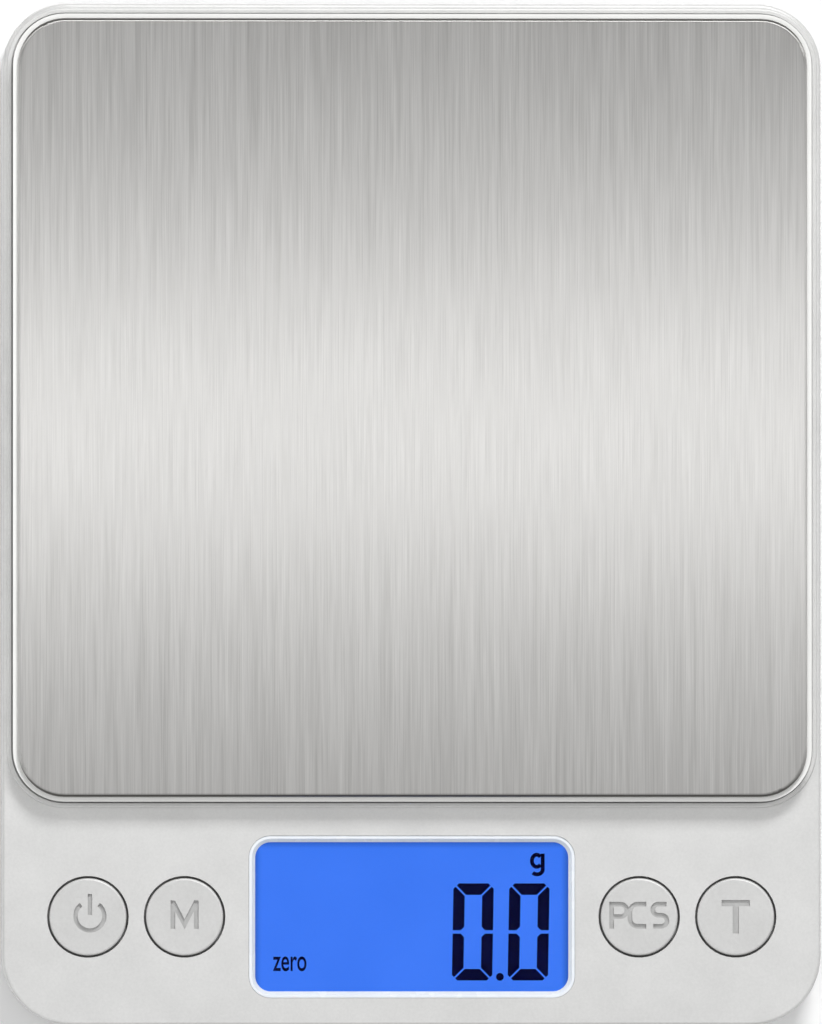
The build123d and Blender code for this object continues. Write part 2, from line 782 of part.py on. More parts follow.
# each stroke of P, C and S in turn: a straight run or an arc
count_strokes = [
    (Polyline, [(-3.55, -1.52), (-3.55, 1.62), (-2.4, 1.62)]),
    (CenterArc, [(-2.4, 0.82), 0.8, -90, 180]),
    (Polyline, [(-2.35, 0.02), (-3.4, 0.02)]),
    (Polyline, [(0.9, 1.62), (-0.2, 1.62)]),
    (CenterArc, [(-0.2, 0.62), 1.0, 90, 90]),
    (Polyline, [(-1.2, 0.65), (-1.2, -0.25)]),
    (CenterArc, [(-0.2, -0.22), 1.0, 180, 90]),
    (Polyline, [(-0.2, -1.22), (0.9, -1.22)]),
    (Polyline, [(3.5, 1.62), (2.45, 1.62)]),
    (CenterArc, [(2.45, 0.91), 0.71, 90, 180]),
    (Polyline, [(2.4, 0.2), (2.9, 0.2)]),
    (CenterArc, [(2.85, -0.51), 0.71, -90, 180]),
    (Polyline, [(2.9, -1.22), (1.8, -1.22)]),
]
with BuildSketch(mode=Mode.PRIVATE) as count_legend:
    for shape, points in count_strokes:
        with BuildLine():
            shape(*points)
        trace(line_width=legend_stroke)
with BuildSketch(mode=Mode.PRIVATE) as tare_legend:
    with Locations((0, 1.75)):
        Rectangle(3.64, tare_stroke)
    with Locations((0, -0.2)):
        Rectangle(tare_stroke, 3.9)
legends = {
    "power": power_legend.sketch,
    "mode": mode_legend.sketch,
    "count": count_legend.sketch,
    "tare": tare_legend.sketch,
}

for name, x in button_x.items():
    # cap with a wide flange that stays under the panel, legend cut into its top
    with BuildPart() as button:
        with BuildSketch(Plane.XY.offset(flange_bottom_z)):
            with Locations((x, button_row_y)):
                Circle(flange_radius)
        extrude(amount=button_flange_thickness)
        with BuildSketch(Plane.XY.offset(flange_top_z)):
            with Locations((x, button_row_y)):
                Circle(button_radius)
        extrude(amount=panel_z + button_proud - flange_top_z)
        fillet(button.faces().sort_by(Axis.Z)[-1].edges(), button_edge_radius)
        with BuildSketch(Plane.XY.offset(panel_z + button_proud)):
            with Locations((x, button_row_y)):
                add(legends[name])
        extrude(amount=-legend_depth, mode=Mode.SUBTRACT)
    button.part.label = f"{name}_button"
    export_step(button.part, f"parts/{name}_button.step")

    # tactile switch: a square body with a round well for its plunger
    with BuildPart() as switch:
        with BuildSketch(Plane.XY.offset(board_top_z)):
            with Locations((x, button_row_y)):
                RectangleRounded(switch_size, switch_size, switch_corner)
        extrude(amount=switch_body_height)
        with BuildSketch(Plane.XY.offset(well_floor_z)):
            with Locations((x, button_row_y)):
                Circle(plunger_radius + plunger_clearance)
        extrude(amount=plunger_well_depth, mode=Mode.SUBTRACT)
    switch.part.label = f"{name}_switch"
    export_step(switch.part, f"parts/{name}_switch.step")

    with BuildPart() as plunger:
        with BuildSketch(Plane.XY.offset(well_floor_z + plunger_travel_room)):
            with Locations((x, button_row_y)):
                Circle(plunger_radius)
        extrude(amount=flange_bottom_z - well_floor_z - plunger_travel_room)
    plunger.part.label = f"{name}_plunger"
    export_step(plunger.part, f"parts/{name}_plunger.step")

# ---------------------------------------------------------------------------
# Load cell and platform
# ---------------------------------------------------------------------------

with BuildPart() as load_cell:
    with BuildSketch(Plane.XZ.offset(-plate_y)):
        with Locations((0, (cell_bottom_z + cell_top_z) / 2)):
            Rectangle(cell_length, cell_height)
            with GridLocations(cell_hole_pitch, 1, 2, 1):
                Circle(cell_hole_radius, mode=Mode.SUBTRACT)
            Rectangle(cell_hole_pitch, cell_slot_height, mode=Mode.SUBTRACT)
    extrude(amount=cell_width / 2, both=True)
    for end in (0, -1):
        chamfer(load_cell.edges().filter_by(Axis.Z).group_by(Axis.X)[end], cell_end_chamfer)
    with BuildSketch(Plane.XY.offset(cell_bottom_z)):
        with Locations(*[(x, plate_y) for x in fixed_screw_x + moving_screw_x]):
            Circle(cell_screw_radius + thread_clearance)
    extrude(amount=cell_height, mode=Mode.SUBTRACT)
load_cell.part.label = "load_cell"
export_step(load_cell.part, "parts/load_cell.step")

# White sealant over the strain gauges, above and below the thin sections.
with BuildPart() as gauge_coat:
    for face_z, direction in ((cell_top_z, 1), (cell_bottom_z, -1)):
        with BuildSketch(Plane.XY.offset(face_z)):
            with Locations((0, plate_y)):
                RectangleRounded(gauge_coat_length, cell_width - 1.0, 2.0)
        extrude(amount=direction * gauge_coat_thickness)
gauge_coat.part.label = "gauge_coat"
export_step(gauge_coat.part, "parts/gauge_coat.step")

# Steel shims that space the beam from the base and from the platform.
for name, centre_x, bottom, holes in (
    ("base_shim", cell_pad_x, floor_z + cell_boss_height, fixed_screw_x),
    ("platform_shim", -cell_pad_x, cell_top_z, moving_screw_x),
):
    with BuildPart() as shim:
        with BuildSketch(Plane.XY.offset(bottom)):
            with Locations((centre_x, plate_y)):
                Rectangle(cell_pad_length, cell_width)
            with Locations(*[(x, plate_y) for x in holes]):
                Circle(cell_screw_radius + shank_clearance, mode=Mode.SUBTRACT)
        extrude(amount=cell_spacer_thickness)
    shim.part.label = name
    export_step(shim.part, f"parts/{name}.step")

# Two screws from below hold the fixed end, two from above the moving end.
base_head_z = underside_z + cell_screw_head_height + head_recess
platform_head_z = carrier_top_z - cell_screw_head_height - head_recess
for name, places, head_z, direction, length in (
    ("cell_base_screws", fixed_screw_x, base_head_z, 1, cell_bottom_z - base_head_z + base_thread_reach),
    (
        "cell_platform_screws",
        moving_screw_x,
        platform_head_z,
        -1,
        platform_head_z - cell_top_z + platform_thread_reach,
    ),
):
    with BuildPart() as screws:
        with BuildSketch(Plane.XY.offset(head_z)):
            with Locations(*[(x, plate_y) for x in places]):
                Circle(cell_screw_head_radius)
        extrude(amount=-direction * cell_screw_head_height)
        with BuildSketch(Plane.XY.offset(head_z)):
            with Locations(*[(x, plate_y) for x in places]):
                Circle(cell_screw_radius)
        extrude(amount=direction * length)
        with BuildSketch(Plane.XY.offset(head_z - direction * cell_screw_head_height)):
            cross([(x, plate_y) for x in places], *cell_screw_slot[:2])
        extrude(amount=direction * cell_screw_slot[2], mode=Mode.SUBTRACT)
    screws.part.label = name
    export_step(screws.part, f"parts/{name}.step")

# Grub screw under the moving end, which takes an overload.
with BuildPart() as overload_screw:
    with BuildSketch(Plane.XY.offset(underside_z + grub_recess)):
        with Locations((moving_screw_x[0], plate_y)):
            Circle(cell_screw_radius)
    extrude(amount=cell_bottom_z - overload_gap - underside_z - grub_recess)
    with BuildSketch(Plane.XY.offset(underside_z + grub_recess)):
        with Locations((moving_screw_x[0], plate_y)):
            RegularPolygon(grub_socket_radius, 6)
    extrude(amount=grub_socket_depth, mode=Mode.SUBTRACT)
overload_screw.part.label = "overload_screw"
export_step(overload_screw.part, "parts/overload_screw.step")

# Plastic carrier under the steel plate: a web with a rim and ribs below, a lip
# that shows as a thin line round the plate, and the boss down to the load cell.
rib_pocket_width = (plate_width - 2 * plate_thickness - 4 * carrier_rib_width) / 3
rib_pocket_depth = (plate_depth - 2 * plate_thickness - 4 * carrier_rib_width) / 3
with BuildPart() as platform_carrier:
    with BuildSketch(Plane.XY.offset(carrier_bottom_z)):
        add(lip_outline)
    extrude(amount=skirt_bottom_z - carrier_clearance - carrier_bottom_z)
    with BuildSketch(Plane.XY.offset(web_bottom_z)):
        add(carrier_outline)
    extrude(amount=carrier_web)
    with BuildSketch(Plane.XY.offset(carrier_bottom_z)):
        with Locations((0, plate_y)):
            with GridLocations(
                rib_pocket_width + carrier_rib_width, rib_pocket_depth + carrier_rib_width, 3, 3
            ):
                RectangleRounded(rib_pocket_width, rib_pocket_depth, plate_radius - carrier_rib_width)
    extrude(amount=carrier_rib_depth, mode=Mode.SUBTRACT)
    with BuildSketch(Plane.XY.offset(boss_bottom_z)):
        with Locations((-cell_pad_x, plate_y)):
            Rectangle(cell_pad_length, cell_width)
    extrude(amount=carrier_top_z - boss_bottom_z)
    with Locations(*[(x, plate_y, carrier_top_z) for x in moving_screw_x]):
        CounterBoreHole(
            cell_screw_radius + shank_clearance,
            cell_screw_head_radius + head_clearance,
            cell_screw_head_height + head_recess,
            drill_depth,
        )
platform_carrier.part.label = "platform_carrier"
export_step(platform_carrier.part, "parts/platform_carrier.step")

# Double-sided tape that holds the steel plate on the carrier.
with BuildPart() as plate_tape:
    with BuildSketch(Plane.XY.offset(carrier_top_z)):
        with Locations((0, plate_y)):
            with GridLocations(1, plate_depth - 2 * tape_inset, 1, 2):
                Rectangle(plate_width - 2 * tape_inset + tape_width, tape_width)
            with GridLocations(plate_width - 2 * tape_inset, 1, 2, 1):
                Rectangle(tape_width, plate_depth - 2 * tape_inset - 2 * tape_width)
    extrude(amount=tape_thickness)
plate_tape.part.label = "plate_tape"
export_step(plate_tape.part, "parts/plate_tape.step")

# Stainless steel weighing plate, a pressed sheet with a turned-down skirt.
with BuildPart() as weighing_plate:
    with BuildSketch(Plane.XY.offset(skirt_bottom_z)):
        add(plate_outer)
    extrude(amount=plate_skirt_depth)
    fillet(weighing_plate.faces().sort_by(Axis.Z)[-1].edges(), plate_edge_radius)
    with BuildSketch(Plane.XY.offset(skirt_bottom_z)):
        add(plate_inner)
    extrude(amount=plate_skirt_depth - plate_thickness, mode=Mode.SUBTRACT)
weighing_plate.part.label = "weighing_plate"
export_step(weighing_plate.part, "parts/weighing_plate.step")

# ---------------------------------------------------------------------------
# Batteries and their contacts
# ---------------------------------------------------------------------------

plate_face = bay_half - contact_thickness
nub_x = plate_face - contact_dimple
spring_end_x = nub_x - battery_length

# Each cell points its positive nub at one end of the bay, so that the two are
# in series: the front one to the left, the back one to the right.
for name, direction, y in (("front_battery", -1, front_battery_y), ("back_battery", 1, back_battery_y)):
    with BuildPart() as battery:
        with BuildSketch(Plane((0, y, battery_z))):
            with BuildLine():
                Polyline(
                    (direction * spring_end_x, 0),
                    (direction * spring_end_x, battery_radius - battery_edge),
                    (direction * (spring_end_x + battery_edge), battery_radius),
                    (direction * (nub_x - battery_nub_length - battery_edge), battery_radius),
                    (direction * (nub_x - battery_nub_length), battery_radius - battery_edge),
                    (direction * (nub_x - battery_nub_length), battery_nub_radius),
                    (direction * nub_x, battery_nub_radius),
                    (direction * nub_x, 0),
                    close=True,
                )
            make_face()
        revolve(axis=Axis((0, y, battery_z), (1, 0, 0)))
    battery.part.label = name
    export_step(battery.part, f"parts/{name}.step")

# Contact plates: one long plate joins the cells at the left end, and two
# single ones with solder tails stand at the right end.
with BuildPart() as contact_bridge:
    with BuildSketch(Plane.YZ.offset(-bay_half)):
        with Locations(((front_battery_y + back_battery_y) / 2, battery_z)):
            Rectangle(back_battery_y - front_battery_y + contact_height, contact_height)
    extrude(amount=contact_thickness)
    with BuildSketch(Plane.YZ.offset(-plate_face)):
        with Locations((front_battery_y, battery_z)):
            Circle(dimple_radius)
    extrude(amount=contact_dimple)
contact_bridge.part.label = "contact_bridge"
export_step(contact_bridge.part, "parts/contact_bridge.step")

for name, y, has_dimple in (
    ("contact_positive", back_battery_y, True),
    ("contact_negative", front_battery_y, False),
):
    with BuildPart() as contact:
        with BuildSketch(Plane.YZ.offset(plate_face)):
            with Locations((y, battery_z)):
                Rectangle(contact_height, contact_height)
        extrude(amount=contact_thickness)
        if has_dimple:
            with BuildSketch(Plane.YZ.offset(plate_face)):
                with Locations((y, battery_z)):
                    Circle(dimple_radius)
            extrude(amount=-contact_dimple)
        with BuildSketch(Plane.YZ.offset(plate_face)):
            with Locations((y, tail_z)):
                Rectangle(tail_width, tail_thickness)
        extrude(amount=contact_thickness + bay_wall + contact_tail)
    contact.part.label = name
    export_step(contact.part, f"parts/{name}.step")

# Conical springs that press each cell from its flat end.
spring_length = plate_face + spring_end_x - 2 * spring_wire_radius
for name, start_x, direction, y in (
    ("front_battery_spring", plate_face - spring_wire_radius, -1, front_battery_y),
    ("back_battery_spring", -plate_face + spring_wire_radius, 1, back_battery_y),
):
    with BuildPart() as spring:
        with BuildLine() as coil:
            Helix(
                pitch=spring_length / spring_turns,
                height=spring_length,
                radius=spring_radius,
                center=(start_x, y, battery_z),
                direction=(direction, 0, 0),
                cone_angle=-spring_taper,
            )
        with BuildSketch(coil.line ^ 0):
            Circle(spring_wire_radius)
        sweep(is_frenet=True)
    spring.part.label = name
    export_step(spring.part, f"parts/{name}.step")

# ---------------------------------------------------------------------------
# Battery door: it tips out about two tabs at its front edge, and a sprung
# latch holds its back edge.
# ---------------------------------------------------------------------------

latch_outer_y = door_back_y
latch_inner_y = latch_outer_y - 3 * latch_wall
with BuildPart() as battery_door:
    with BuildSketch(Plane.XY.offset(underside_z)) as door_plan:
        with Locations((0, (door_axis_y + door_back_y) / 2)):
            Rectangle(2 * door_half, door_back_y - door_axis_y)
        fillet(door_plan.vertices(), door_corner)
        with Locations((0, latch_outer_y)):
            Rectangle(latch_width + 2 * leg_gap, 2 * (latch_wall + leg_gap), mode=Mode.SUBTRACT)
    extrude(amount=door_thickness)
    # grip grooves beside the latch
    with BuildSketch(Plane.XY.offset(underside_z)):
        with Locations((0, door_back_y - grip_to_latch)):
            with GridLocations(1, grip_groove_pitch, 1, grip_groove_count):
                SlotOverall(latch_width + 2 * grip_groove_overlap, grip_groove_width)
    extrude(amount=grip_groove_depth, mode=Mode.SUBTRACT)
    # two hooked tabs: a short upright and a flat reach over the floor
    with BuildSketch(Plane.YZ.offset(-door_tab_spacing / 2 - door_tab_width / 2)):
        with BuildLine():
            Polyline(
                (door_axis_y, door_top_z - tab_root),
                (door_axis_y, tab_bottom_z),
                (door_axis_y - door_tab_reach, tab_bottom_z),
                (door_axis_y - door_tab_reach, tab_top_z),
                (door_axis_y + tab_offset, tab_top_z),
                (door_axis_y + tab_offset, door_top_z - tab_root),
                close=True,
            )
        make_face()
    extrude(amount=door_tab_width)
    mirror(battery_door.part, about=Plane.YZ)
battery_door.part.label = "battery_door"
export_step(battery_door.part, "parts/battery_door.step")

with BuildPart() as door_latch:
    with BuildSketch(Plane.YZ.offset(-latch_width / 2)) as latch_profile:
        with BuildLine():
            Polyline(
                (latch_inner_y, door_top_z),
                (latch_inner_y, floor_z + latch_rise),
                (latch_outer_y, floor_z + latch_rise),
                (latch_outer_y, tab_bottom_z + latch_slope),
                (latch_outer_y + latch_slope, tab_bottom_z),
                (latch_outer_y, tab_bottom_z),
                (latch_outer_y, underside_z),
                (latch_outer_y - latch_wall, underside_z),
                (latch_outer_y - latch_wall, floor_z + latch_rise - latch_wall),
                (latch_inner_y + latch_wall, floor_z + latch_rise - latch_wall),
                (latch_inner_y + latch_wall, door_top_z),
                close=True,
            )
        make_face()
        fillet(latch_profile.vertices().group_by(Axis.Y)[-1], latch_bend)
    extrude(amount=latch_width)
door_latch.part.label = "door_latch"
export_step(door_latch.part, "parts/door_latch.step")

# ---------------------------------------------------------------------------
# Wiring, soldered along the back edge of the board
# ---------------------------------------------------------------------------

wire_z = (floor_z + ceiling_z) / 2 + wire_rise
wire_end_z = board_top_z + wire_end_height
solder_y = board_back_y - solder_inset
tail_x = bay_half + bay_wall + contact_tail
coat_front_y = plate_y - (cell_width - 1.0) / 2
coat_z = cell_top_z + gauge_coat_thickness / 2
turn_y = board_back_y + wire_turn_gap
drop_y = board_back_y + wire_drop_gap

cell_pad_places = [-inner_button_x - cell_pad_offset + cell_pad_pitch * n for n in range(4)]
battery_pad_places = [inner_button_x + battery_pad_offset - battery_pad_pitch * n for n in range(2)]
cell_wire_names = ("cell_wire_red", "cell_wire_black", "cell_wire_white", "cell_wire_green")
battery_wire_starts = {"battery_wire_red": back_battery_y, "battery_wire_black": front_battery_y}
wire_routes = {}
for n, name in enumerate(cell_wire_names):
    start_x = cell_wire_pitch * n - cell_wire_offset
    end_x = cell_pad_places[n]
    wire_routes[name] = [
        (start_x, coat_front_y, coat_z),
        (start_x, coat_front_y - 4.0, coat_z),
        (start_x - 2.0, coat_front_y - 9.0, wire_z + 1.0),
        (end_x, turn_y, wire_z),
        (end_x, drop_y, wire_end_z),
        (end_x, solder_y, wire_end_z),
    ]
for n, (name, y) in enumerate(battery_wire_starts.items()):
    lane_x = cell_length / 2 + 6.0 - battery_pad_pitch * n
    end_x = battery_pad_places[n]
    wire_routes[name] = [
        (tail_x, y, tail_z),
        (lane_x, y, tail_z),
        (lane_x, plate_y - 10.0, wire_z),
        (end_x, turn_y, wire_z),
        (end_x, drop_y, wire_end_z),
        (end_x, solder_y, wire_end_z),
    ]
for name, points in wire_routes.items():
    with BuildPart() as wire:
        with BuildLine() as route:
            FilletPolyline(*points, radius=wire_bend_radius)
        with BuildSketch(route.line ^ 0):
            Circle(wire_diameter / 2)
        sweep()
    wire.part.label = name
    export_step(wire.part, f"parts/{name}.step")
    wire_length = sum(edge.length for edge in route.edges())
    print(f"{name}: {wire_length:.1f} mm long, bends of {wire_bend_radius} mm")

with BuildPart() as solder_joints:
    with BuildSketch(Plane.XY.offset(board_top_z)):
        with Locations(*[(x, solder_y - solder_size / 2) for x in cell_pad_places + battery_pad_places]):
            Rectangle(solder_size, solder_size)
    extrude(amount=solder_height)
    fillet(solder_joints.faces().group_by(Axis.Z)[-1].edges(), solder_edge)
solder_joints.part.label = "solder_joints"
export_step(solder_joints.part, "parts/solder_joints.step")
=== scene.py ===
# %% [markdown]
# # A digital gram scale
# This lesson dresses the finished CAD model of a pocket scale: a silver casing with a lit display
# and four round keys, and a square weighing plate of brushed stainless steel. The CAD model gives
# every shape, size and joint, so the work here is finishes, the inked display, the small rubber
# treads and the parts that bend. Each cell prints what it made or measured.

# %% Load the frame
import json
import math

import bmesh
import bpy
from mathutils import Matrix, Vector


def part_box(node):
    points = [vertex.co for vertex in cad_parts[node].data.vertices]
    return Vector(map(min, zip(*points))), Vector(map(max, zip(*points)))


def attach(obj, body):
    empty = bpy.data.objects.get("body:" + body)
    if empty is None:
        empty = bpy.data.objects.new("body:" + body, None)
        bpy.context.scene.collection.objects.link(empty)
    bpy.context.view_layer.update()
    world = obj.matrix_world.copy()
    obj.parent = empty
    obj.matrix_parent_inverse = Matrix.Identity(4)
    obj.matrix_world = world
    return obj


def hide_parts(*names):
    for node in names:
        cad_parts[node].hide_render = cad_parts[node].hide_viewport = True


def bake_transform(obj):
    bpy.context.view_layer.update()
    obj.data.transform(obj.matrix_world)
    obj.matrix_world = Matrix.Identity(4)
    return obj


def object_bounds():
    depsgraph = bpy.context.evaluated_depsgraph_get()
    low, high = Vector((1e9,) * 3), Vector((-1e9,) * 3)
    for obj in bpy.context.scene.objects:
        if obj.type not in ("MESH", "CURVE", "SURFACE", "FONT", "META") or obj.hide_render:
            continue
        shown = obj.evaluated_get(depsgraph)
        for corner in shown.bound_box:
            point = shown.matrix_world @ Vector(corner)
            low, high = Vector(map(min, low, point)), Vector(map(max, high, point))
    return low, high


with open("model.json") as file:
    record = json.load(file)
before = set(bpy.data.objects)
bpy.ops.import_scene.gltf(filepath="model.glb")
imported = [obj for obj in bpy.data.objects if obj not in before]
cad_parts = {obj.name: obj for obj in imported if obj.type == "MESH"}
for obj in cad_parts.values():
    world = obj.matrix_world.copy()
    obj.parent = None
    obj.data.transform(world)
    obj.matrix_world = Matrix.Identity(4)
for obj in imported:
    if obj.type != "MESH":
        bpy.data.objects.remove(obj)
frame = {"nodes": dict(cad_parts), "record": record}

MM = 0.001
nodes = frame["nodes"]
cad_low, cad_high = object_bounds()
print("CAD box in mm:", [round(v / MM, 2) for v in cad_high - cad_low], "with", len(nodes), "nodes")

# %% [markdown]
# ## The camera
# The scale is seen from straight above, so flat that only a sliver of its height shows. Such a
# view needs a long lens far away: a near camera would spread the sides outwards. The camera leans
# a little to the left and to the front, because the plate, which stands higher than the casing,
# sits slightly right of the middle.

# %% Set the camera over the scale
CAMERA_DISTANCE = 3.0
LEAN_LEFT = math.radians(1.9)
LEAN_FRONT = math.radians(0.8)
FRAME_HEIGHT = 131.36 * MM
SHOULDER_HEIGHT = 16 * MM
VIEW_CENTRE = (-0.12 * MM, 0.32 * MM)

camera_data = bpy.data.cameras.new("camera")
camera_data.sensor_width = 36
camera_data.lens = camera_data.sensor_width * CAMERA_DISTANCE / FRAME_HEIGHT
camera_data.clip_end = 10
camera = bpy.data.objects.new("camera", camera_data)
bpy.context.scene.collection.objects.link(camera)
bpy.context.scene.camera = camera
towards_camera = Vector((-math.sin(LEAN_LEFT), -math.sin(LEAN_FRONT), 1)).normalized()
target = Vector((*VIEW_CENTRE, SHOULDER_HEIGHT))
right = Vector((0, 1, 0)).cross(towards_camera).normalized()
up = towards_camera.cross(right)
turn = Matrix((right, up, towards_camera)).transposed()
camera.matrix_world = Matrix.Translation(target + towards_camera * CAMERA_DISTANCE) @ turn.to_4x4()
bpy.context.scene.view_settings.view_transform = "Standard"
print("lens in mm:", round(camera_data.lens))

# %% [markdown]
# ## Two helpers for materials
# Colours are picked as the eye reads them, in sRGB hex, but the renderer counts light, so one
# function turns hex into linear values. Another adds a node to a tree with its settings and
# links in one call, which keeps each material readable from top to bottom.


# %% Colour and node helpers
def linear(hex_code, alpha=1.0):
    """Linear RGBA from an sRGB hex code such as 'd4d4d2'."""
    channels = [int(hex_code[i:i + 2], 16) / 255 for i in (0, 2, 4)]
    return [c / 12.92 if c <= 0.04045 else ((c + 0.055) / 1.055) ** 2.4 for c in channels] + [alpha]


def add(tree, kind, inputs=None, **settings):
    """Add a node. Inputs maps a socket's name or number to a value or to another node's output."""
    made = tree.nodes.new(kind)
    for name, value in settings.items():
        setattr(made, name, value)
    for socket, value in (inputs or {}).items():
        if isinstance(value, bpy.types.NodeSocket):
            tree.links.new(value, made.inputs[socket])
        else:
            made.inputs[socket].default_value = value
    return made


def start_material(name, **sockets):
    """A new material with one principled shader. Returns it with its tree, shader and position."""
    material = bpy.data.materials.new(name)
    material.use_nodes = True
    tree = material.node_tree
    tree.nodes.clear()
    shader = add(tree, "ShaderNodeBsdfPrincipled")
    for socket, value in sockets.items():
        shader.inputs[socket.replace("_", " ")].default_value = value
    add(tree, "ShaderNodeOutputMaterial", {"Surface": shader.outputs["BSDF"]})
    position = add(tree, "ShaderNodeTexCoord").outputs["Object"]
    return material, tree, shader, position


def noise(tree, position, size_mm, detail=2.0, rough=0.5):
    """Noise whose blotches are size_mm wide: one number, or one for each axis."""
    sizes = size_mm if isinstance(size_mm, tuple) else (size_mm,) * 3
    scaled = add(
        tree, "ShaderNodeMapping", {"Vector": position, "Scale": [1 / (s * MM) for s in sizes]}
    )
    made = add(
        tree,
        "ShaderNodeTexNoise",
        {"Vector": scaled.outputs["Vector"], "Scale": 1.0, "Detail": detail, "Roughness": rough},
    )
    return made.outputs["Fac"]


def spread(tree, value, low, high):
    """Stretch a noise's middle range, 0.3 to 0.7, over low to high."""
    made = add(
        tree,
        "ShaderNodeMapRange",
        {"Value": value, "From Min": 0.3, "From Max": 0.7, "To Min": low, "To Max": high},
    )
    return made.outputs["Result"]


def mix_colours(tree, factor, first, second):
    """Blend two hex colours by a factor."""
    made = add(
        tree,
        "ShaderNodeMix",
        {0: factor, 6: linear(first), 7: linear(second)},
        data_type="RGBA",
    )
    return made.outputs[2]


def bump(tree, shader, height, depth_mm, strength=1.0):
    """Dent the surface by a height pattern."""
    made = add(
        tree,
        "ShaderNodeBump",
        {"Height": height, "Distance": depth_mm * MM, "Strength": strength},
    )
    tree.links.new(made.outputs["Normal"], shader.inputs["Normal"])


materials = {}

# %% [markdown]
# ## Brushed stainless steel
# The plate is sheet steel drawn past a belt of fine grit from front to back. Each grain leaves a
# scratch a few hundredths of a millimetre wide and some centimetres long. Light scatters widely
# across the scratches but hardly along them, which is anisotropy: a lamp above becomes one bright
# band across the plate. The tangent therefore points across the scratches, along X. The visible
# streaks are groups of scratches, drawn 0.15 to 0.5 mm wide, because single ones are too fine to
# show. The other way, a bump map alone, sparkles and needs far more samples. The sheet is bent
# down at its edges, and the front and back bends run across the scratches. These get painted shade:
# the colour darkens with how far the surface leans along Y, so they read as a dark line.

# %% Brushed stainless steel
# sizes in millimetres: across the scratches, along them, and down the fold
STREAK_SIZE = (0.16, 14.0, 20.0)
BAND_SIZE = (0.9, 45.0, 20.0)
# how far the surface leans along Y where the painted fold shade starts, and where it is darkest
FOLD_SHADE_FROM = 0.05
FOLD_SHADE_TO = 0.55

material, tree, shader, position = start_material(
    "brushed_stainless_steel", Metallic=1.0, Anisotropic=0.9
)
hairlines = noise(tree, position, STREAK_SIZE, 3.0, 0.6)
bands = noise(tree, position, BAND_SIZE, 3.0, 0.7)
streaks = add(tree, "ShaderNodeMath", {0: hairlines, 1: bands}, operation="ADD")
halved = add(tree, "ShaderNodeMath", {0: streaks.outputs[0], 1: 0.5}, operation="MULTIPLY")
flat_colour = mix_colours(tree, spread(tree, halved.outputs[0], 0.0, 1.0), "bcbbb9", "e4e3e1")
facing = add(tree, "ShaderNodeSeparateXYZ", {0: add(tree, "ShaderNodeNewGeometry").outputs["Normal"]})
lean = add(tree, "ShaderNodeMath", {0: facing.outputs["Y"]}, operation="ABSOLUTE")
fold_shade = add(
    tree,
    "ShaderNodeMapRange",
    {"Value": lean.outputs[0], "From Min": FOLD_SHADE_FROM, "From Max": FOLD_SHADE_TO},
)
# painted shade: the colour darkens towards 6b6a67 as the surface leans along Y, so the front and back
# bends read as a dark line
colour = add(
    tree,
    "ShaderNodeMix",
    {0: fold_shade.outputs["Result"], 6: flat_colour, 7: linear("6b6a67")},
    data_type="RGBA",
).outputs[2]
tree.links.new(colour, shader.inputs["Base Color"])
tree.links.new(spread(tree, bands, 0.41, 0.47), shader.inputs["Roughness"])
across = add(tree, "ShaderNodeCombineXYZ", {0: 1.0, 1: 0.0, 2: 0.0})
tree.links.new(across.outputs[0], shader.inputs["Tangent"])
bump(tree, shader, hairlines, 0.002, 0.35)
materials["stainless_steel"] = material
print("steel: streaks", STREAK_SIZE[0], "mm wide in bands", BAND_SIZE[0], "mm wide")

# %% [markdown]
# ## Silver paint on ABS
# The casing is moulded ABS with a sprayed silver coat: fine aluminium flakes in a clear binder.
# It looks pale grey and satin, with a faint mottle where the flakes lie differently, and the fine
# grain of the spark-eroded mould shows through. The keys have the same paint one shade darker, and
# down in their cut legends the colour carries painted shade, so the lettering reads darker than the cap
# round it.


# %% Silver paint on the casing, the keys and the carrier
# depths below the face of a key where the painted groove shade starts and where it is darkest, then how
# far it darkens
GROOVE_SHADE_FROM = 0.26 * MM
GROOVE_SHADE_TO = 0.36 * MM
GROOVE_SHADE_LEVEL = 0.22


def silver_paint(name, dark, light, metallic=0.25, face_z=None):
    """Satin silver paint between two close greys, with painted shade in what is cut below face_z."""
    material, tree, shader, position = start_material(name, Metallic=metallic, IOR=1.5)
    flakes = noise(tree, position, 0.35, 2.0, 0.7)
    clouds = noise(tree, position, 6.0, 2.0, 0.5)
    both = add(tree, "ShaderNodeMath", {0: flakes, 1: clouds}, operation="ADD")
    halved = add(tree, "ShaderNodeMath", {0: both.outputs[0], 1: 0.5}, operation="MULTIPLY")
    colour = mix_colours(tree, spread(tree, halved.outputs[0], 0.0, 1.0), dark, light)
    # painted shade: the colour darkens towards 3a3a3c down in the cut legends below the face of the key
    if face_z:
        height = add(tree, "ShaderNodeSeparateXYZ", {0: position}).outputs["Z"]
        depth = add(
            tree,
            "ShaderNodeMapRange",
            {
                "Value": height,
                "From Min": face_z - GROOVE_SHADE_FROM,
                "From Max": face_z - GROOVE_SHADE_TO,
                "To Max": GROOVE_SHADE_LEVEL,
            },
        )
        groove_shaded = add(
            tree,
            "ShaderNodeMix",
            {0: depth.outputs["Result"], 6: colour, 7: linear("3a3a3c")},
            data_type="RGBA",
        )
        colour = groove_shaded.outputs[2]
    tree.links.new(colour, shader.inputs["Base Color"])
    tree.links.new(spread(tree, flakes, 0.42, 0.52), shader.inputs["Roughness"])
    bump(tree, shader, noise(tree, position, 0.22, 1.0), 0.006, 0.5)
    return material


materials["silver_abs"] = silver_paint("silver_painted_abs", "cececd", "dadad9")
key_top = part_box("tare_button")[1][2]
materials["key_abs"] = silver_paint("silver_painted_key", "c7c7c6", "d3d3d2", face_z=key_top)
materials["carrier_abs"] = silver_paint("moulded_grey_abs", "f0f0ee", "f6f6f4", 0.0)
print("face of the keys in mm:", round(key_top / MM, 2))


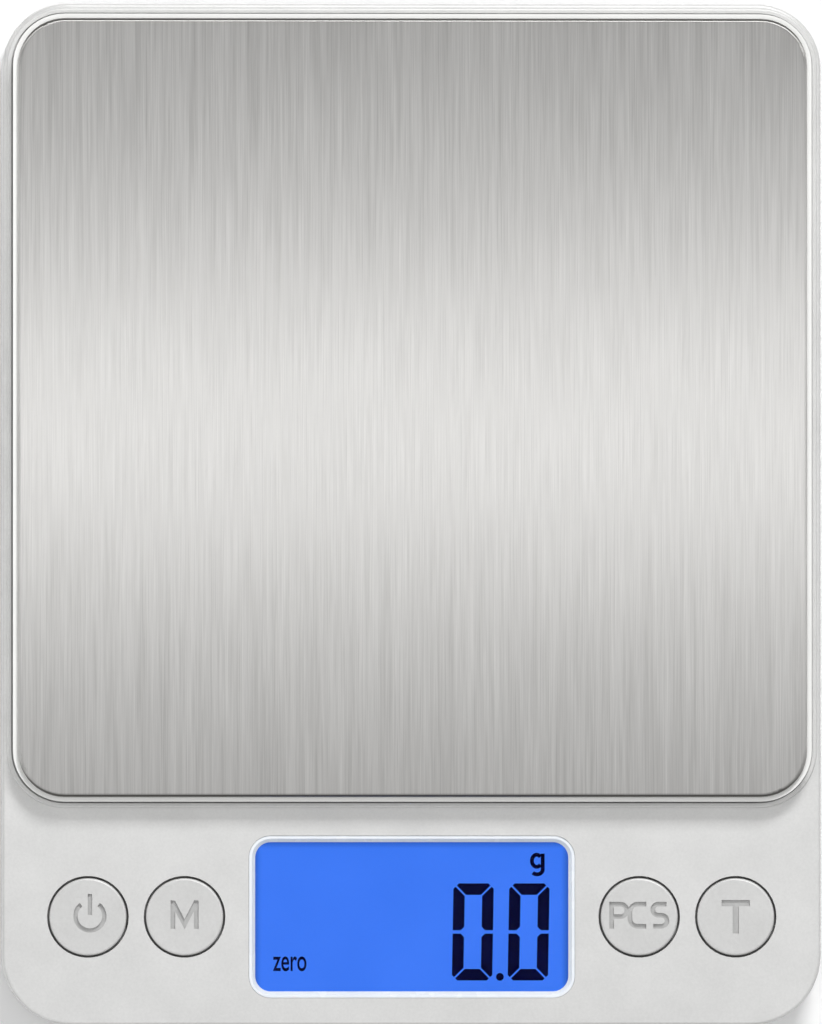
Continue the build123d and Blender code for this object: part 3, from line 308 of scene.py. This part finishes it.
# %% [markdown]
# ## Plain plastics, rubber and metals
# Most inner pieces are moulded, rolled or plated stock. They share one recipe with different
# numbers: two close colours that drift over a few millimetres, a roughness that varies with them,
# and the surface's own grain as a shallow bump. Giving each a real grain size keeps the recipe
# honest: 0.2 mm for moulded nylon, 0.15 mm for foam cells, 0.4 mm for the lay of drawn metal.


# %% Stock finishes
def stock(name, dark, light, rough, grain_mm, depth_mm, drift_mm=5.0, **sockets):
    """A plain finish: two colours, a roughness range, and grain of a real size."""
    material, tree, shader, position = start_material(name, **sockets)
    drift = noise(tree, position, drift_mm, 3.0, 0.6)
    colour = mix_colours(tree, spread(tree, drift, 0.0, 1.0), dark, light)
    tree.links.new(colour, shader.inputs["Base Color"])
    tree.links.new(spread(tree, drift, *rough), shader.inputs["Roughness"])
    bump(tree, shader, noise(tree, position, grain_mm, 2.0), depth_mm, 0.6)
    return material


materials["foot_rubber"] = stock(
    "grey_silicone_rubber", "b4b4b0", "c2c2be", (0.55, 0.7), 0.3, 0.01, IOR=1.41
)
# the faint blue in this white is painted glow: the backlight's light showing through the bezel
materials["bezel_white"] = stock(
    "white_abs", "eef2f8", "f6f9fd", (0.22, 0.3), 0.25, 0.002, IOR=1.53, Subsurface_Weight=0.1
)
materials["switch_plastic"] = stock("black_nylon", "1b1b1d", "26262a", (0.45, 0.6), 0.2, 0.006, IOR=1.53)
materials["chip_black"] = stock("potting_epoxy", "0d0d0f", "17171a", (0.18, 0.35), 0.8, 0.02, IOR=1.55)
materials["component_can"] = stock(
    "capacitor_aluminium", "b9bbc0", "cfd1d5", (0.25, 0.4), 0.4, 0.003, Metallic=1.0
)
materials["conductive_rubber"] = stock(
    "zebra_rubber", "c9a9b4", "d8bcc5", (0.5, 0.65), 0.2, 0.01, IOR=1.41
)
materials["gauge_sealant"] = stock(
    "white_silicone", "e8e8e3", "f2f2ee", (0.3, 0.45), 1.2, 0.05, IOR=1.41
)
materials["zinc_steel"] = stock(
    "zinc_plated_steel", "b6bac0", "ccd0d4", (0.22, 0.38), 0.4, 0.004, Metallic=1.0
)
materials["nickel_plate"] = stock(
    "nickel_plated_steel", "c4bfb2", "d8d4c8", (0.15, 0.3), 0.4, 0.003, Metallic=1.0
)
materials["solder_tin"] = stock("tin_solder", "c2c4c8", "dadbde", (0.12, 0.3), 0.5, 0.02, Metallic=1.0)
materials["tape_foam"] = stock("foam_tape", "e4e2da", "efeee8", (0.8, 0.95), 0.15, 0.03, IOR=1.45)
for wire, dark, light in (
    ("red", "a01512", "b81e18"),
    ("black", "121214", "1d1d20"),
    ("white", "d8d8d4", "e4e4e0"),
    ("green", "12682c", "187a36"),
):
    materials[f"wire_{wire}"] = stock(f"{wire}_pvc", dark, light, (0.3, 0.42), 0.3, 0.004, 3.0, IOR=1.53)
print(len(materials), "finishes so far")

# %% [markdown]
# ## Clear acrylic, glass and the lit film
# The lens and the two panes let the light through, so they are transmissive and nearly smooth; a
# faint haze keeps them from vanishing. Bare acrylic has an index near 1.49 and would lay a grey veil
# over the digits. This lens is coated to stop that, and an index of 1.1 gives the coated look. Behind
# them a blue light guide shines through the whole cell, and from above its top film is one even blue
# field. The film carries that light itself. Its glow fades towards its left, right and back edges:
# that fade is painted shadow of the bezel on the lit field.


# %% Clear pieces and the blue light
# width of the painted bezel shadow along the film's edges, and how much glow is left there
BEZEL_SHADOW_WIDTH = 1.3 * MM
BEZEL_SHADOW_GLOW = 0.55
COATED_IOR = 1.1


def clear(name, tint, rough):
    """A clear solid with a faint haze on its faces and a coat that kills most reflections."""
    material, tree, shader, position = start_material(
        name, Transmission_Weight=1.0, IOR=COATED_IOR, Specular_IOR_Level=0.12
    )
    shader.inputs["Base Color"].default_value = linear(tint)
    tree.links.new(spread(tree, noise(tree, position, 4.0), 0.0, rough), shader.inputs["Roughness"])
    return material


def lit(name, dark, light):
    """A film that shines evenly, with painted shadow of the bezel near its edges."""
    material, tree, shader, position = start_material(name, IOR=1.5, Roughness=0.5)
    low, high = (Vector(corner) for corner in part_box("display_lens"))
    axes = add(tree, "ShaderNodeSeparateXYZ", {0: position})
    # painted shadow: the glow fades towards the left, right and back edges, where the bezel shades the
    # field
    bezel_shadow = []
    for axis, start, end in (
        ("X", low.x, low.x + BEZEL_SHADOW_WIDTH),
        ("X", high.x, high.x - BEZEL_SHADOW_WIDTH),
        ("Y", high.y, high.y - BEZEL_SHADOW_WIDTH),
    ):
        bezel_shadow.append(
            add(
                tree,
                "ShaderNodeMapRange",
                {"Value": axes.outputs[axis], "From Min": start, "From Max": end, "To Min": BEZEL_SHADOW_GLOW},
                interpolation_type="SMOOTHSTEP",
            ).outputs["Result"]
        )
    least = add(tree, "ShaderNodeMath", {0: bezel_shadow[0], 1: bezel_shadow[1]}, operation="MINIMUM")
    least = add(tree, "ShaderNodeMath", {0: least.outputs[0], 1: bezel_shadow[2]}, operation="MINIMUM")
    even = mix_colours(tree, spread(tree, noise(tree, position, 9.0), 0.0, 1.0), dark, light)
    glow = add(tree, "ShaderNodeVectorMath", {0: even, 3: least.outputs[0]}, operation="SCALE")
    tree.links.new(glow.outputs[0], shader.inputs["Emission Color"])
    shader.inputs["Emission Strength"].default_value = 1.0
    shader.inputs["Base Color"].default_value = linear("0a1230")
    shader.inputs["Specular IOR Level"].default_value = 0.05
    return material


materials["clear_acrylic"] = clear("clear_acrylic", "ffffff", 0.03)
materials["lcd_glass"] = clear("display_glass", "f4faff", 0.02)
materials["polarizer_film"] = lit("lit_polarizer", "3a76f0", "3d79f4")
materials["backlight_blue"] = lit("blue_light_guide", "2d6cf0", "3a7af8")
print("light falls off over the last", BEZEL_SHADOW_WIDTH / MM, "mm")

# %% [markdown]
# ## Circuit board, load cell and batteries
# The board is glass fibre under green solder mask: the copper tracks below lift the mask a little
# and show as paler lines. The load cell is a milled bar of aluminium with fine tool marks along its
# length. A battery's jacket is printed film: dark, and copper-coloured towards the end with the nub,
# with no lettering here. The two cells lie opposite ways round, so the copper is to the right in the
# back row and to the left in the front row, and one material serves both.

# %% Board, beam and jackets
TRACK_PITCH = 5.08 * MM
COPPER_FROM = 9 * MM
COPPER_EDGE = 0.3 * MM

material, tree, shader, position = start_material("solder_mask_green", IOR=1.5, Coat_Weight=0.3)
tracks = add(
    tree,
    "ShaderNodeTexBrick",
    {
        "Vector": position,
        "Scale": 1 / TRACK_PITCH,
        "Mortar Size": 0.03,
        "Color1": linear("0f4a22"),
        "Color2": linear("125227"),
        "Mortar": linear("2c7a45"),
    },
)
tree.links.new(tracks.outputs["Color"], shader.inputs["Base Color"])
tree.links.new(spread(tree, noise(tree, position, 2.0), 0.3, 0.42), shader.inputs["Roughness"])
bump(tree, shader, tracks.outputs["Fac"], 0.03, 0.5)
materials["board_green"] = material

material, tree, shader, position = start_material("milled_aluminium", Metallic=1.0)
lay = noise(tree, position, (12.0, 0.25, 0.25), 2.0, 0.6)
colour = mix_colours(tree, spread(tree, lay, 0.0, 1.0), "bfc1c4", "d6d7d9")
tree.links.new(colour, shader.inputs["Base Color"])
tree.links.new(spread(tree, lay, 0.28, 0.42), shader.inputs["Roughness"])
bump(tree, shader, lay, 0.004, 0.5)
materials["cell_aluminium"] = material

material, tree, shader, position = start_material("battery_film", IOR=1.5, Coat_Weight=0.5)
axes = add(tree, "ShaderNodeSeparateXYZ", {0: position})
between = (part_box("front_battery")[1][1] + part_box("back_battery")[0][1]) / 2
row = add(tree, "ShaderNodeMath", {0: axes.outputs["Y"], 1: between}, operation="SUBTRACT")
row = add(tree, "ShaderNodeMath", {0: row.outputs[0]}, operation="SIGN")
reach = add(tree, "ShaderNodeMath", {0: axes.outputs["X"], 1: row.outputs[0]}, operation="MULTIPLY")
band = add(
    tree,
    "ShaderNodeMapRange",
    {"Value": reach.outputs[0], "From Min": COPPER_FROM, "From Max": COPPER_FROM + COPPER_EDGE},
)
colour = mix_colours(tree, band.outputs["Result"], "17181c", "a8672f")
tree.links.new(colour, shader.inputs["Base Color"])
tree.links.new(spread(tree, noise(tree, position, 3.0), 0.2, 0.32), shader.inputs["Roughness"])
bump(tree, shader, noise(tree, position, (20.0, 1.5, 1.5)), 0.01, 0.4)
materials["battery_jacket"] = material
print(len(materials), "finishes in all")

# %% [markdown]
# ## Dress the CAD nodes
# Each CAD node already carries a material slot from its record. Replacing the material in that
# slot changes the look and leaves the mesh alone. The record names the slot of every node, so one
# loop dresses them all, and a finish that is missing would stop the script here.

# %% Dress the nodes
slot_of = {row["node"]: row["material_slot"] for row in frame["record"]["subparts"]}
for name, piece in nodes.items():
    piece.data.materials.clear()
    piece.data.materials.append(materials[slot_of[name]])
print("dressed", len(nodes), "nodes")


# %% [markdown]
# ## Mesh helpers
# New pieces are built from outlines given in millimetres. A finished piece keeps its object at the
# origin, so its place is in its mesh, and it rides on a body by name.


# %% Mesh helpers
def make_piece(name, mesh, body, slot, finish=None):
    """Link a mesh as a piece that rides on a body, with the finish of its slot or another."""
    piece = bpy.data.objects.new(name, mesh)
    bpy.context.scene.collection.objects.link(piece)
    mesh.materials.clear()
    mesh.materials.append(finish or materials[slot])
    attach(piece, body)
    return piece


def plates_from_outlines(name, outlines, low_z, high_z):
    """One mesh of flat closed plates, each from a list of (x, y) points in metres."""
    mesh = bpy.data.meshes.new(name)
    built = bmesh.new()
    for outline in outlines:
        under = [built.verts.new((x, y, low_z)) for x, y in outline]
        over = [built.verts.new((x, y, high_z)) for x, y in outline]
        count = len(outline)
        built.faces.new(list(reversed(under)))
        built.faces.new(over)
        for i in range(count):
            j = (i + 1) % count
            built.faces.new((under[i], under[j], over[j], over[i]))
    bmesh.ops.recalc_face_normals(built, faces=built.faces)
    built.to_mesh(mesh)
    built.free()
    return mesh


# %% [markdown]
# ## The inked digits
# A liquid crystal digit is seven bars with mitred ends and hairline gaps, so that each can be
# switched alone. Reading zero, six of them are dark. Drawing each bar as its own plate keeps the
# gaps true, where text in a font would lose them. The dark ink is navy, because blue light leaks
# through it.

# %% Dark display ink
material, tree, shader, position = start_material("dark_liquid_crystal", IOR=1.5)
leak = noise(tree, position, 1.5)
colour = mix_colours(tree, spread(tree, leak, 0.0, 1.0), "01012a", "040634")
tree.links.new(colour, shader.inputs["Base Color"])
tree.links.new(spread(tree, leak, 0.5, 0.6), shader.inputs["Roughness"])
shader.inputs["Specular IOR Level"].default_value = 0.02
ink = material
print("ink:", ink.name)

# %% Draw the digits
DIGIT_WIDTH = 5.18 * MM
DIGIT_HEIGHT = 12.46 * MM
STROKE = 1.47 * MM
GAP = 0.22 * MM
CORNER = 0.55 * MM
MIDDLE_CUT = 0.45 * MM
SLANT = math.tan(math.radians(1.0))
INK_THICKNESS = 0.02 * MM

film_low, film_high = (Vector(corner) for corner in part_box("front_polarizer"))
window = (film_low + film_high) / 2
film_top = film_high.z


def digit_bars(centre_x, centre_y):
    """The six lit bars of a zero, as outlines round its middle."""
    half_w = DIGIT_WIDTH / 2
    half_h = DIGIT_HEIGHT / 2
    bars = []
    # top and bottom bars: a trapezium whose long side is outside
    inset = GAP / 2 * math.sqrt(2)
    for sign in (1, -1):
        bars.append([
            (sign * (-half_w + CORNER + inset), sign * half_h),
            (sign * (half_w - CORNER - inset), sign * half_h),
            (sign * (half_w - CORNER / 2 - inset), sign * (half_h - CORNER / 2)),
            (sign * (half_w - STROKE - inset), sign * (half_h - STROKE)),
            (sign * (-half_w + STROKE + inset), sign * (half_h - STROKE)),
            (sign * (-half_w + CORNER / 2 + inset), sign * (half_h - CORNER / 2)),
        ])
    # four uprights: mitred at the corner, with a small cut on the inside at the middle
    for side in (1, -1):
        for end in (1, -1):
            bars.append([
                (side * half_w, end * GAP),
                (side * half_w, end * (half_h - CORNER - inset)),
                (side * (half_w - CORNER / 2), end * (half_h - CORNER / 2 - inset)),
                (side * (half_w - STROKE), end * (half_h - STROKE - inset)),
                (side * (half_w - STROKE), end * (GAP + MIDDLE_CUT)),
                (side * (half_w - STROKE + MIDDLE_CUT), end * GAP),
            ])
    return [[(centre_x + x + y * SLANT, centre_y + y) for x, y in outline] for outline in bars]


def dot(centre_x, centre_y, radius, sides=24):
    """A round point."""
    turns = [2 * math.pi * n / sides for n in range(sides)]
    return [(centre_x + radius * math.cos(t), centre_y + radius * math.sin(t)) for t in turns]


DIGIT_PLACES = (7.92 * MM, 15.09 * MM)
DIGIT_DROP = 1.95 * MM
POINT_PLACE = (11.40 * MM, -7.72 * MM)
POINT_RADIUS = 0.5 * MM
outlines = []
for centre_x in DIGIT_PLACES:
    outlines += digit_bars(window.x + centre_x, window.y - DIGIT_DROP)
outlines.append(dot(window.x + POINT_PLACE[0], window.y + POINT_PLACE[1], POINT_RADIUS))
mesh = plates_from_outlines("display_digits", outlines, film_top, film_top + INK_THICKNESS)
make_piece("display_digits", mesh, "root", "polarizer_film", ink)
print("digits:", len(outlines), "plates")


# %% [markdown]
# ## The unit and the zero mark
# Beside the digits stand two small marks that such a display has: the unit, g, and a mark that
# the reading is at zero. The second is plain lettering, so a text object is the natural start. It
# is turned into a mesh before it is placed, because a finished piece has its place in its mesh. The
# unit is drawn as strokes, because a display's g has one open hook and the font's has two bowls.


# %% Lettering and line helpers
def write(name, text, width, height, left_x, base_y):
    """Text as a thin mesh of a given width and height, its foot at left_x and base_y."""
    curve = bpy.data.curves.new(name, "FONT")
    curve.body = text
    curve.extrude = 0.5
    curve.offset = 0.01
    source = bpy.data.objects.new(name, curve)
    bpy.context.scene.collection.objects.link(source)
    made = bpy.data.meshes.new_from_object(source.evaluated_get(bpy.context.evaluated_depsgraph_get()))
    bpy.data.objects.remove(source)
    xs = [v.co.x for v in made.vertices]
    ys = [v.co.y for v in made.vertices]
    scale_x = width / (max(xs) - min(xs))
    scale_y = height / (max(ys) - min(ys))
    for vertex in made.vertices:
        x, y, z = vertex.co
        vertex.co = (
            left_x + (x - min(xs)) * scale_x,
            base_y + (y - min(ys)) * scale_y,
            film_top + (z + 0.5) * INK_THICKNESS,
        )
    made.name = name
    return make_piece(name, made, "root", "polarizer_film", ink)


def ribbon(points, width):
    """Outline of a line of the given width along points, square at both ends."""
    left, right = [], []
    for i, point in enumerate(points):
        before = points[max(i - 1, 0)]
        after = points[min(i + 1, len(points) - 1)]
        along = (Vector(after) - Vector(before)).normalized()
        side = Vector((-along.y, along.x)) * width / 2
        left.append(tuple(Vector(point) + side))
        right.append(tuple(Vector(point) - side))
    return left + right[::-1]


def arc(centre, radii, start, end, steps=20):
    """Points along part of an ellipse, angles in degrees."""
    turns = [math.radians(start + (end - start) * n / steps) for n in range(steps + 1)]
    return [(centre[0] + radii[0] * math.cos(t), centre[1] + radii[1] * math.sin(t)) for t in turns]


# %% Draw the unit and write the zero mark
# places are measured from the middle of the window
UNIT_PLACE = (16.2 * MM, 6.7 * MM)
UNIT_STROKE = 0.5 * MM
BOWL_RADII = (0.62 * MM, 0.78 * MM)
HOOK_RADII = (0.72 * MM, 0.60 * MM)
ZERO_PLACE = (-17.75 * MM, -7.0 * MM)
ZERO_SIZE = (4.3 * MM, 1.9 * MM)

unit = Vector((window.x + UNIT_PLACE[0], window.y + UNIT_PLACE[1]))
stem_x = unit.x + 0.70 * MM
bowl = arc((unit.x - 0.07 * MM, unit.y + 0.48 * MM), BOWL_RADII, 40, 320)
stem = [(stem_x, unit.y + 1.40 * MM), (stem_x, unit.y - 0.65 * MM)]
hook = arc((stem_x - HOOK_RADII[0], unit.y - 0.66 * MM), HOOK_RADII, -1, -140)
mesh = plates_from_outlines(
    "unit_mark",
    [ribbon(bowl, UNIT_STROKE), ribbon(stem + hook, UNIT_STROKE)],
    film_top,
    film_top + INK_THICKNESS,
)
make_piece("unit_mark", mesh, "root", "polarizer_film", ink)
write("zero_mark", "zero", *ZERO_SIZE, window.x + ZERO_PLACE[0], window.y + ZERO_PLACE[1])
print("zero mark in mm:", [round(v / MM, 2) for v in ZERO_SIZE])

# %% [markdown]
# ## Treads under the feet
# Rubber feet grip better with raised rings moulded under them. Rings that repeat on four feet
# are work for Geometry Nodes: a few circles of different sizes are swept with a round profile and
# set on each foot's centre. The named inputs are the sizes, and one tree serves all four feet. The
# foot must keep its height, so its own underside is set back first, and the rings reach down to
# where it was.

# %% Build the tread tree
RING_SIDES = 48
PROFILE_SIDES = 12

tree = bpy.data.node_groups.new("foot_tread", "GeometryNodeTree")
tree.interface.new_socket("Geometry", in_out="OUTPUT", socket_type="NodeSocketGeometry")
tread_sockets = {}
for label, kind in (
    ("Rings", "NodeSocketInt"),
    ("Ring spacing", "NodeSocketFloat"),
    ("Ring thickness", "NodeSocketFloat"),
    ("Foot X", "NodeSocketFloat"),
    ("Foot Y", "NodeSocketFloat"),
    ("Height", "NodeSocketFloat"),
    ("Finish", "NodeSocketMaterial"),
):
    tread_sockets[label] = tree.interface.new_socket(label, in_out="INPUT", socket_type=kind).identifier
given = add(tree, "NodeGroupInput")
ring_centres = add(
    tree,
    "GeometryNodeMeshLine",
    {"Count": given.outputs["Rings"], "Start Location": (0, 0, 0), "Offset": (0, 0, 0)},
)
number = add(tree, "GeometryNodeInputIndex")
counted = add(tree, "ShaderNodeMath", {0: number.outputs[0], 1: 1.0}, operation="ADD")
ring_radius = add(
    tree,
    "ShaderNodeMath",
    {0: counted.outputs[0], 1: given.outputs["Ring spacing"]},
    operation="MULTIPLY",
)
ring = add(tree, "GeometryNodeCurvePrimitiveCircle", {"Resolution": RING_SIDES, "Radius": 1.0})
rings = add(
    tree,
    "GeometryNodeInstanceOnPoints",
    {
        "Points": ring_centres.outputs["Mesh"],
        "Instance": ring.outputs["Curve"],
        "Scale": ring_radius.outputs[0],
    },
)
single = add(tree, "GeometryNodeRealizeInstances", {"Geometry": rings.outputs["Instances"]})
profile = add(
    tree,
    "GeometryNodeCurvePrimitiveCircle",
    {"Resolution": PROFILE_SIDES, "Radius": given.outputs["Ring thickness"]},
)
tubes = add(
    tree,
    "GeometryNodeCurveToMesh",
    {"Curve": single.outputs["Geometry"], "Profile Curve": profile.outputs["Curve"]},
)
centre = add(
    tree,
    "ShaderNodeCombineXYZ",
    {0: given.outputs["Foot X"], 1: given.outputs["Foot Y"], 2: given.outputs["Height"]},
)
placed = add(
    tree, "GeometryNodeTransform", {"Geometry": tubes.outputs["Mesh"], "Translation": centre.outputs[0]}
)
real = add(tree, "GeometryNodeRealizeInstances", {"Geometry": placed.outputs["Geometry"]})
finished = add(
    tree,
    "GeometryNodeSetMaterial",
    {"Geometry": real.outputs["Geometry"], "Material": given.outputs["Finish"]},
)
add(tree, "NodeGroupOutput", {0: finished.outputs["Geometry"]})
tread_tree = tree
print("tread tree:", len(tree.nodes), "nodes, inputs", list(tread_sockets))

# %% Grow the treads
TREAD_RINGS = 3
TREAD_SPACING = 1.4 * MM
TREAD_THICKNESS = 0.18 * MM
TREAD_DEPTH = 0.25 * MM
WELD = 0.001 * MM


def grow(name, group, settings):
    """Run a geometry node tree and keep its result as a plain mesh."""
    holder = bpy.data.objects.new(name, bpy.data.meshes.new(name))
    bpy.context.scene.collection.objects.link(holder)
    modifier = holder.modifiers.new(name, "NODES")
    modifier.node_group = group
    for identifier, value in settings.items():
        modifier[identifier] = value
    evaluated = holder.evaluated_get(bpy.context.evaluated_depsgraph_get())
    mesh = bpy.data.meshes.new_from_object(evaluated)
    holder.modifiers.remove(modifier)
    bpy.data.objects.remove(holder)
    mesh.name = name
    return mesh


def welded_copy(node):
    """The mesh of a CAD node as one closed surface, open for editing."""
    built = bmesh.new()
    built.from_mesh(nodes[node].data)
    bmesh.ops.remove_doubles(built, verts=built.verts, dist=WELD)
    return built


for foot in [n for n in nodes if n.startswith("foot_")]:
    low, high = (Vector(corner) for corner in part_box(foot))
    rings = grow(
        f"{foot}_rings",
        tread_tree,
        {
            tread_sockets["Rings"]: TREAD_RINGS,
            tread_sockets["Ring spacing"]: TREAD_SPACING,
            tread_sockets["Ring thickness"]: TREAD_THICKNESS,
            tread_sockets["Foot X"]: (low.x + high.x) / 2,
            tread_sockets["Foot Y"]: (low.y + high.y) / 2,
            tread_sockets["Height"]: low.z + TREAD_THICKNESS,
            tread_sockets["Finish"]: materials["foot_rubber"],
        },
    )
    built = welded_copy(foot)
    for vertex in built.verts:
        vertex.co.z = max(vertex.co.z, low.z + TREAD_DEPTH)
    bmesh.ops.remove_doubles(built, verts=built.verts, dist=WELD)
    built.from_mesh(rings)
    mesh = bpy.data.meshes.new(f"{foot}_tread")
    built.to_mesh(mesh)
    built.free()
    tread = make_piece(f"{foot}_tread", mesh, "root", "foot_rubber")
    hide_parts(foot)
    print(tread.name, len(tread.data.polygons), "faces")

# %% [markdown]
# ## The beam that bends
# Under a load the beam bends in its thin middle, over the binocular hole, and its free end sinks
# with the platform. The CAD beam is rigid, so a copy of its mesh stands for it: loose triangles
# are merged and the copy is cut into slices across the middle. The sealant on it is sliced the same
# way. The slices matter, because a straight edge can only bend where it has been cut.

# %% Slice the beam and its sealant
BEND_START = Vector((-9 * MM, 0, 0))
BEND_END = Vector((9 * MM, 0, 0))
BEND_SLICES = 12
for name, slot in (("load_cell", "cell_aluminium"), ("gauge_coat", "gauge_sealant")):
    built = welded_copy(name)
    for n in range(BEND_SLICES + 1):
        cut = BEND_START.lerp(BEND_END, n / BEND_SLICES)
        whole = built.verts[:] + built.edges[:] + built.faces[:]
        bmesh.ops.bisect_plane(built, geom=whole, plane_co=cut, plane_no=(1, 0, 0))
    mesh = bpy.data.meshes.new(f"bending_{name}")
    built.to_mesh(mesh)
    built.free()
    mesh.materials.append(materials[slot])
    piece = bpy.data.objects.new(f"bending_{name}", mesh)
    bpy.context.scene.collection.objects.link(piece)
    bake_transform(piece)
    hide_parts(name)
    print(piece.name, len(mesh.polygons), "faces")

# %% [markdown]
# ## Floor and light
# The floor is plain and pale. The key lamp stands behind and a little to the right, so the front
# edges fall into a soft shade and the cut legends are dark on their upper right sides. A larger,
# weaker lamp at the front left fills the other side. A long narrow lamp hangs along X over the middle
# of the plate, and the brushed steel spreads it into the bright band: the higher it hangs, the wider
# the band. It hangs in the camera's way, so the lamps are hidden from the camera.

# %% Pale floor
FLOOR_HALF = 1.5
FLOOR_THICKNESS = 0.02
corners = [(-FLOOR_HALF, -FLOOR_HALF), (FLOOR_HALF, -FLOOR_HALF)]
corners += [(-x, -y) for x, y in corners]
floor_mesh = plates_from_outlines("floor", [corners], cad_low.z - FLOOR_THICKNESS, cad_low.z)
floor = bpy.data.objects.new("floor", floor_mesh)
bpy.context.scene.collection.objects.link(floor)
material, tree, shader, position = start_material("pale_floor", Roughness=0.8)
tree.links.new(
    mix_colours(tree, spread(tree, noise(tree, position, 60.0), 0, 1), "fbfbfb", "fefefe"),
    shader.inputs["Base Color"],
)
floor_mesh.materials.append(material)
print("floor top in mm:", round(cad_low.z / MM, 2))

# %% Studio light
STRIP_HEIGHT = 0.26
BAND_Y = 13 * MM
# the sky's strength at the horizon and above SKY_FULL, a height where 1 is straight up
SKY_LOW = 0.22
SKY_HIGH = 0.47
SKY_FULL = 0.5
plate_low, plate_high = (Vector(corner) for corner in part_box("weighing_plate"))
plate_middle = (plate_low + plate_high) / 2


def lamp(name, place, aim, size, watts):
    """A soft rectangular lamp at place, facing aim, which the camera does not see."""
    data = bpy.data.lights.new(name, "AREA")
    data.shape = "RECTANGLE"
    data.size, data.size_y = size
    data.energy = watts
    made = bpy.data.objects.new(name, data)
    bpy.context.scene.collection.objects.link(made)
    made.location = place
    made.rotation_euler = (Vector(aim) - Vector(place)).to_track_quat("-Z", "Y").to_euler()
    made.visible_camera = False


lamp("key_lamp", place=(0.20, 0.75, 0.85), aim=(0, 0, 0), size=(0.3, 0.3), watts=7.8)
lamp("front_lamp", place=(-0.7, -0.8, 1.0), aim=(0, 0, 0), size=(1.2, 1.2), watts=4.5)
strip_y = BAND_Y + STRIP_HEIGHT * math.tan(LEAN_FRONT)
strip_place = (plate_middle.x, strip_y, plate_high.z + STRIP_HEIGHT)
lamp("plate_strip", strip_place, aim=(plate_middle.x, strip_y, 0), size=(0.9, 0.02), watts=0.215)
world = bpy.data.worlds.new("studio")
bpy.context.scene.world = world
world.use_nodes = True
tree = world.node_tree
sky = add(tree, "ShaderNodeSeparateXYZ", {0: add(tree, "ShaderNodeTexCoord").outputs["Generated"]})
height = add(
    tree,
    "ShaderNodeMapRange",
    {"Value": sky.outputs["Z"], "From Max": SKY_FULL, "To Min": SKY_LOW, "To Max": SKY_HIGH},
)
tree.links.new(height.outputs["Result"], tree.nodes["Background"].inputs["Strength"])
tree.nodes["Background"].inputs["Color"].default_value = linear("ffffff")
print("lamps:", [made.name for made in bpy.data.lights])
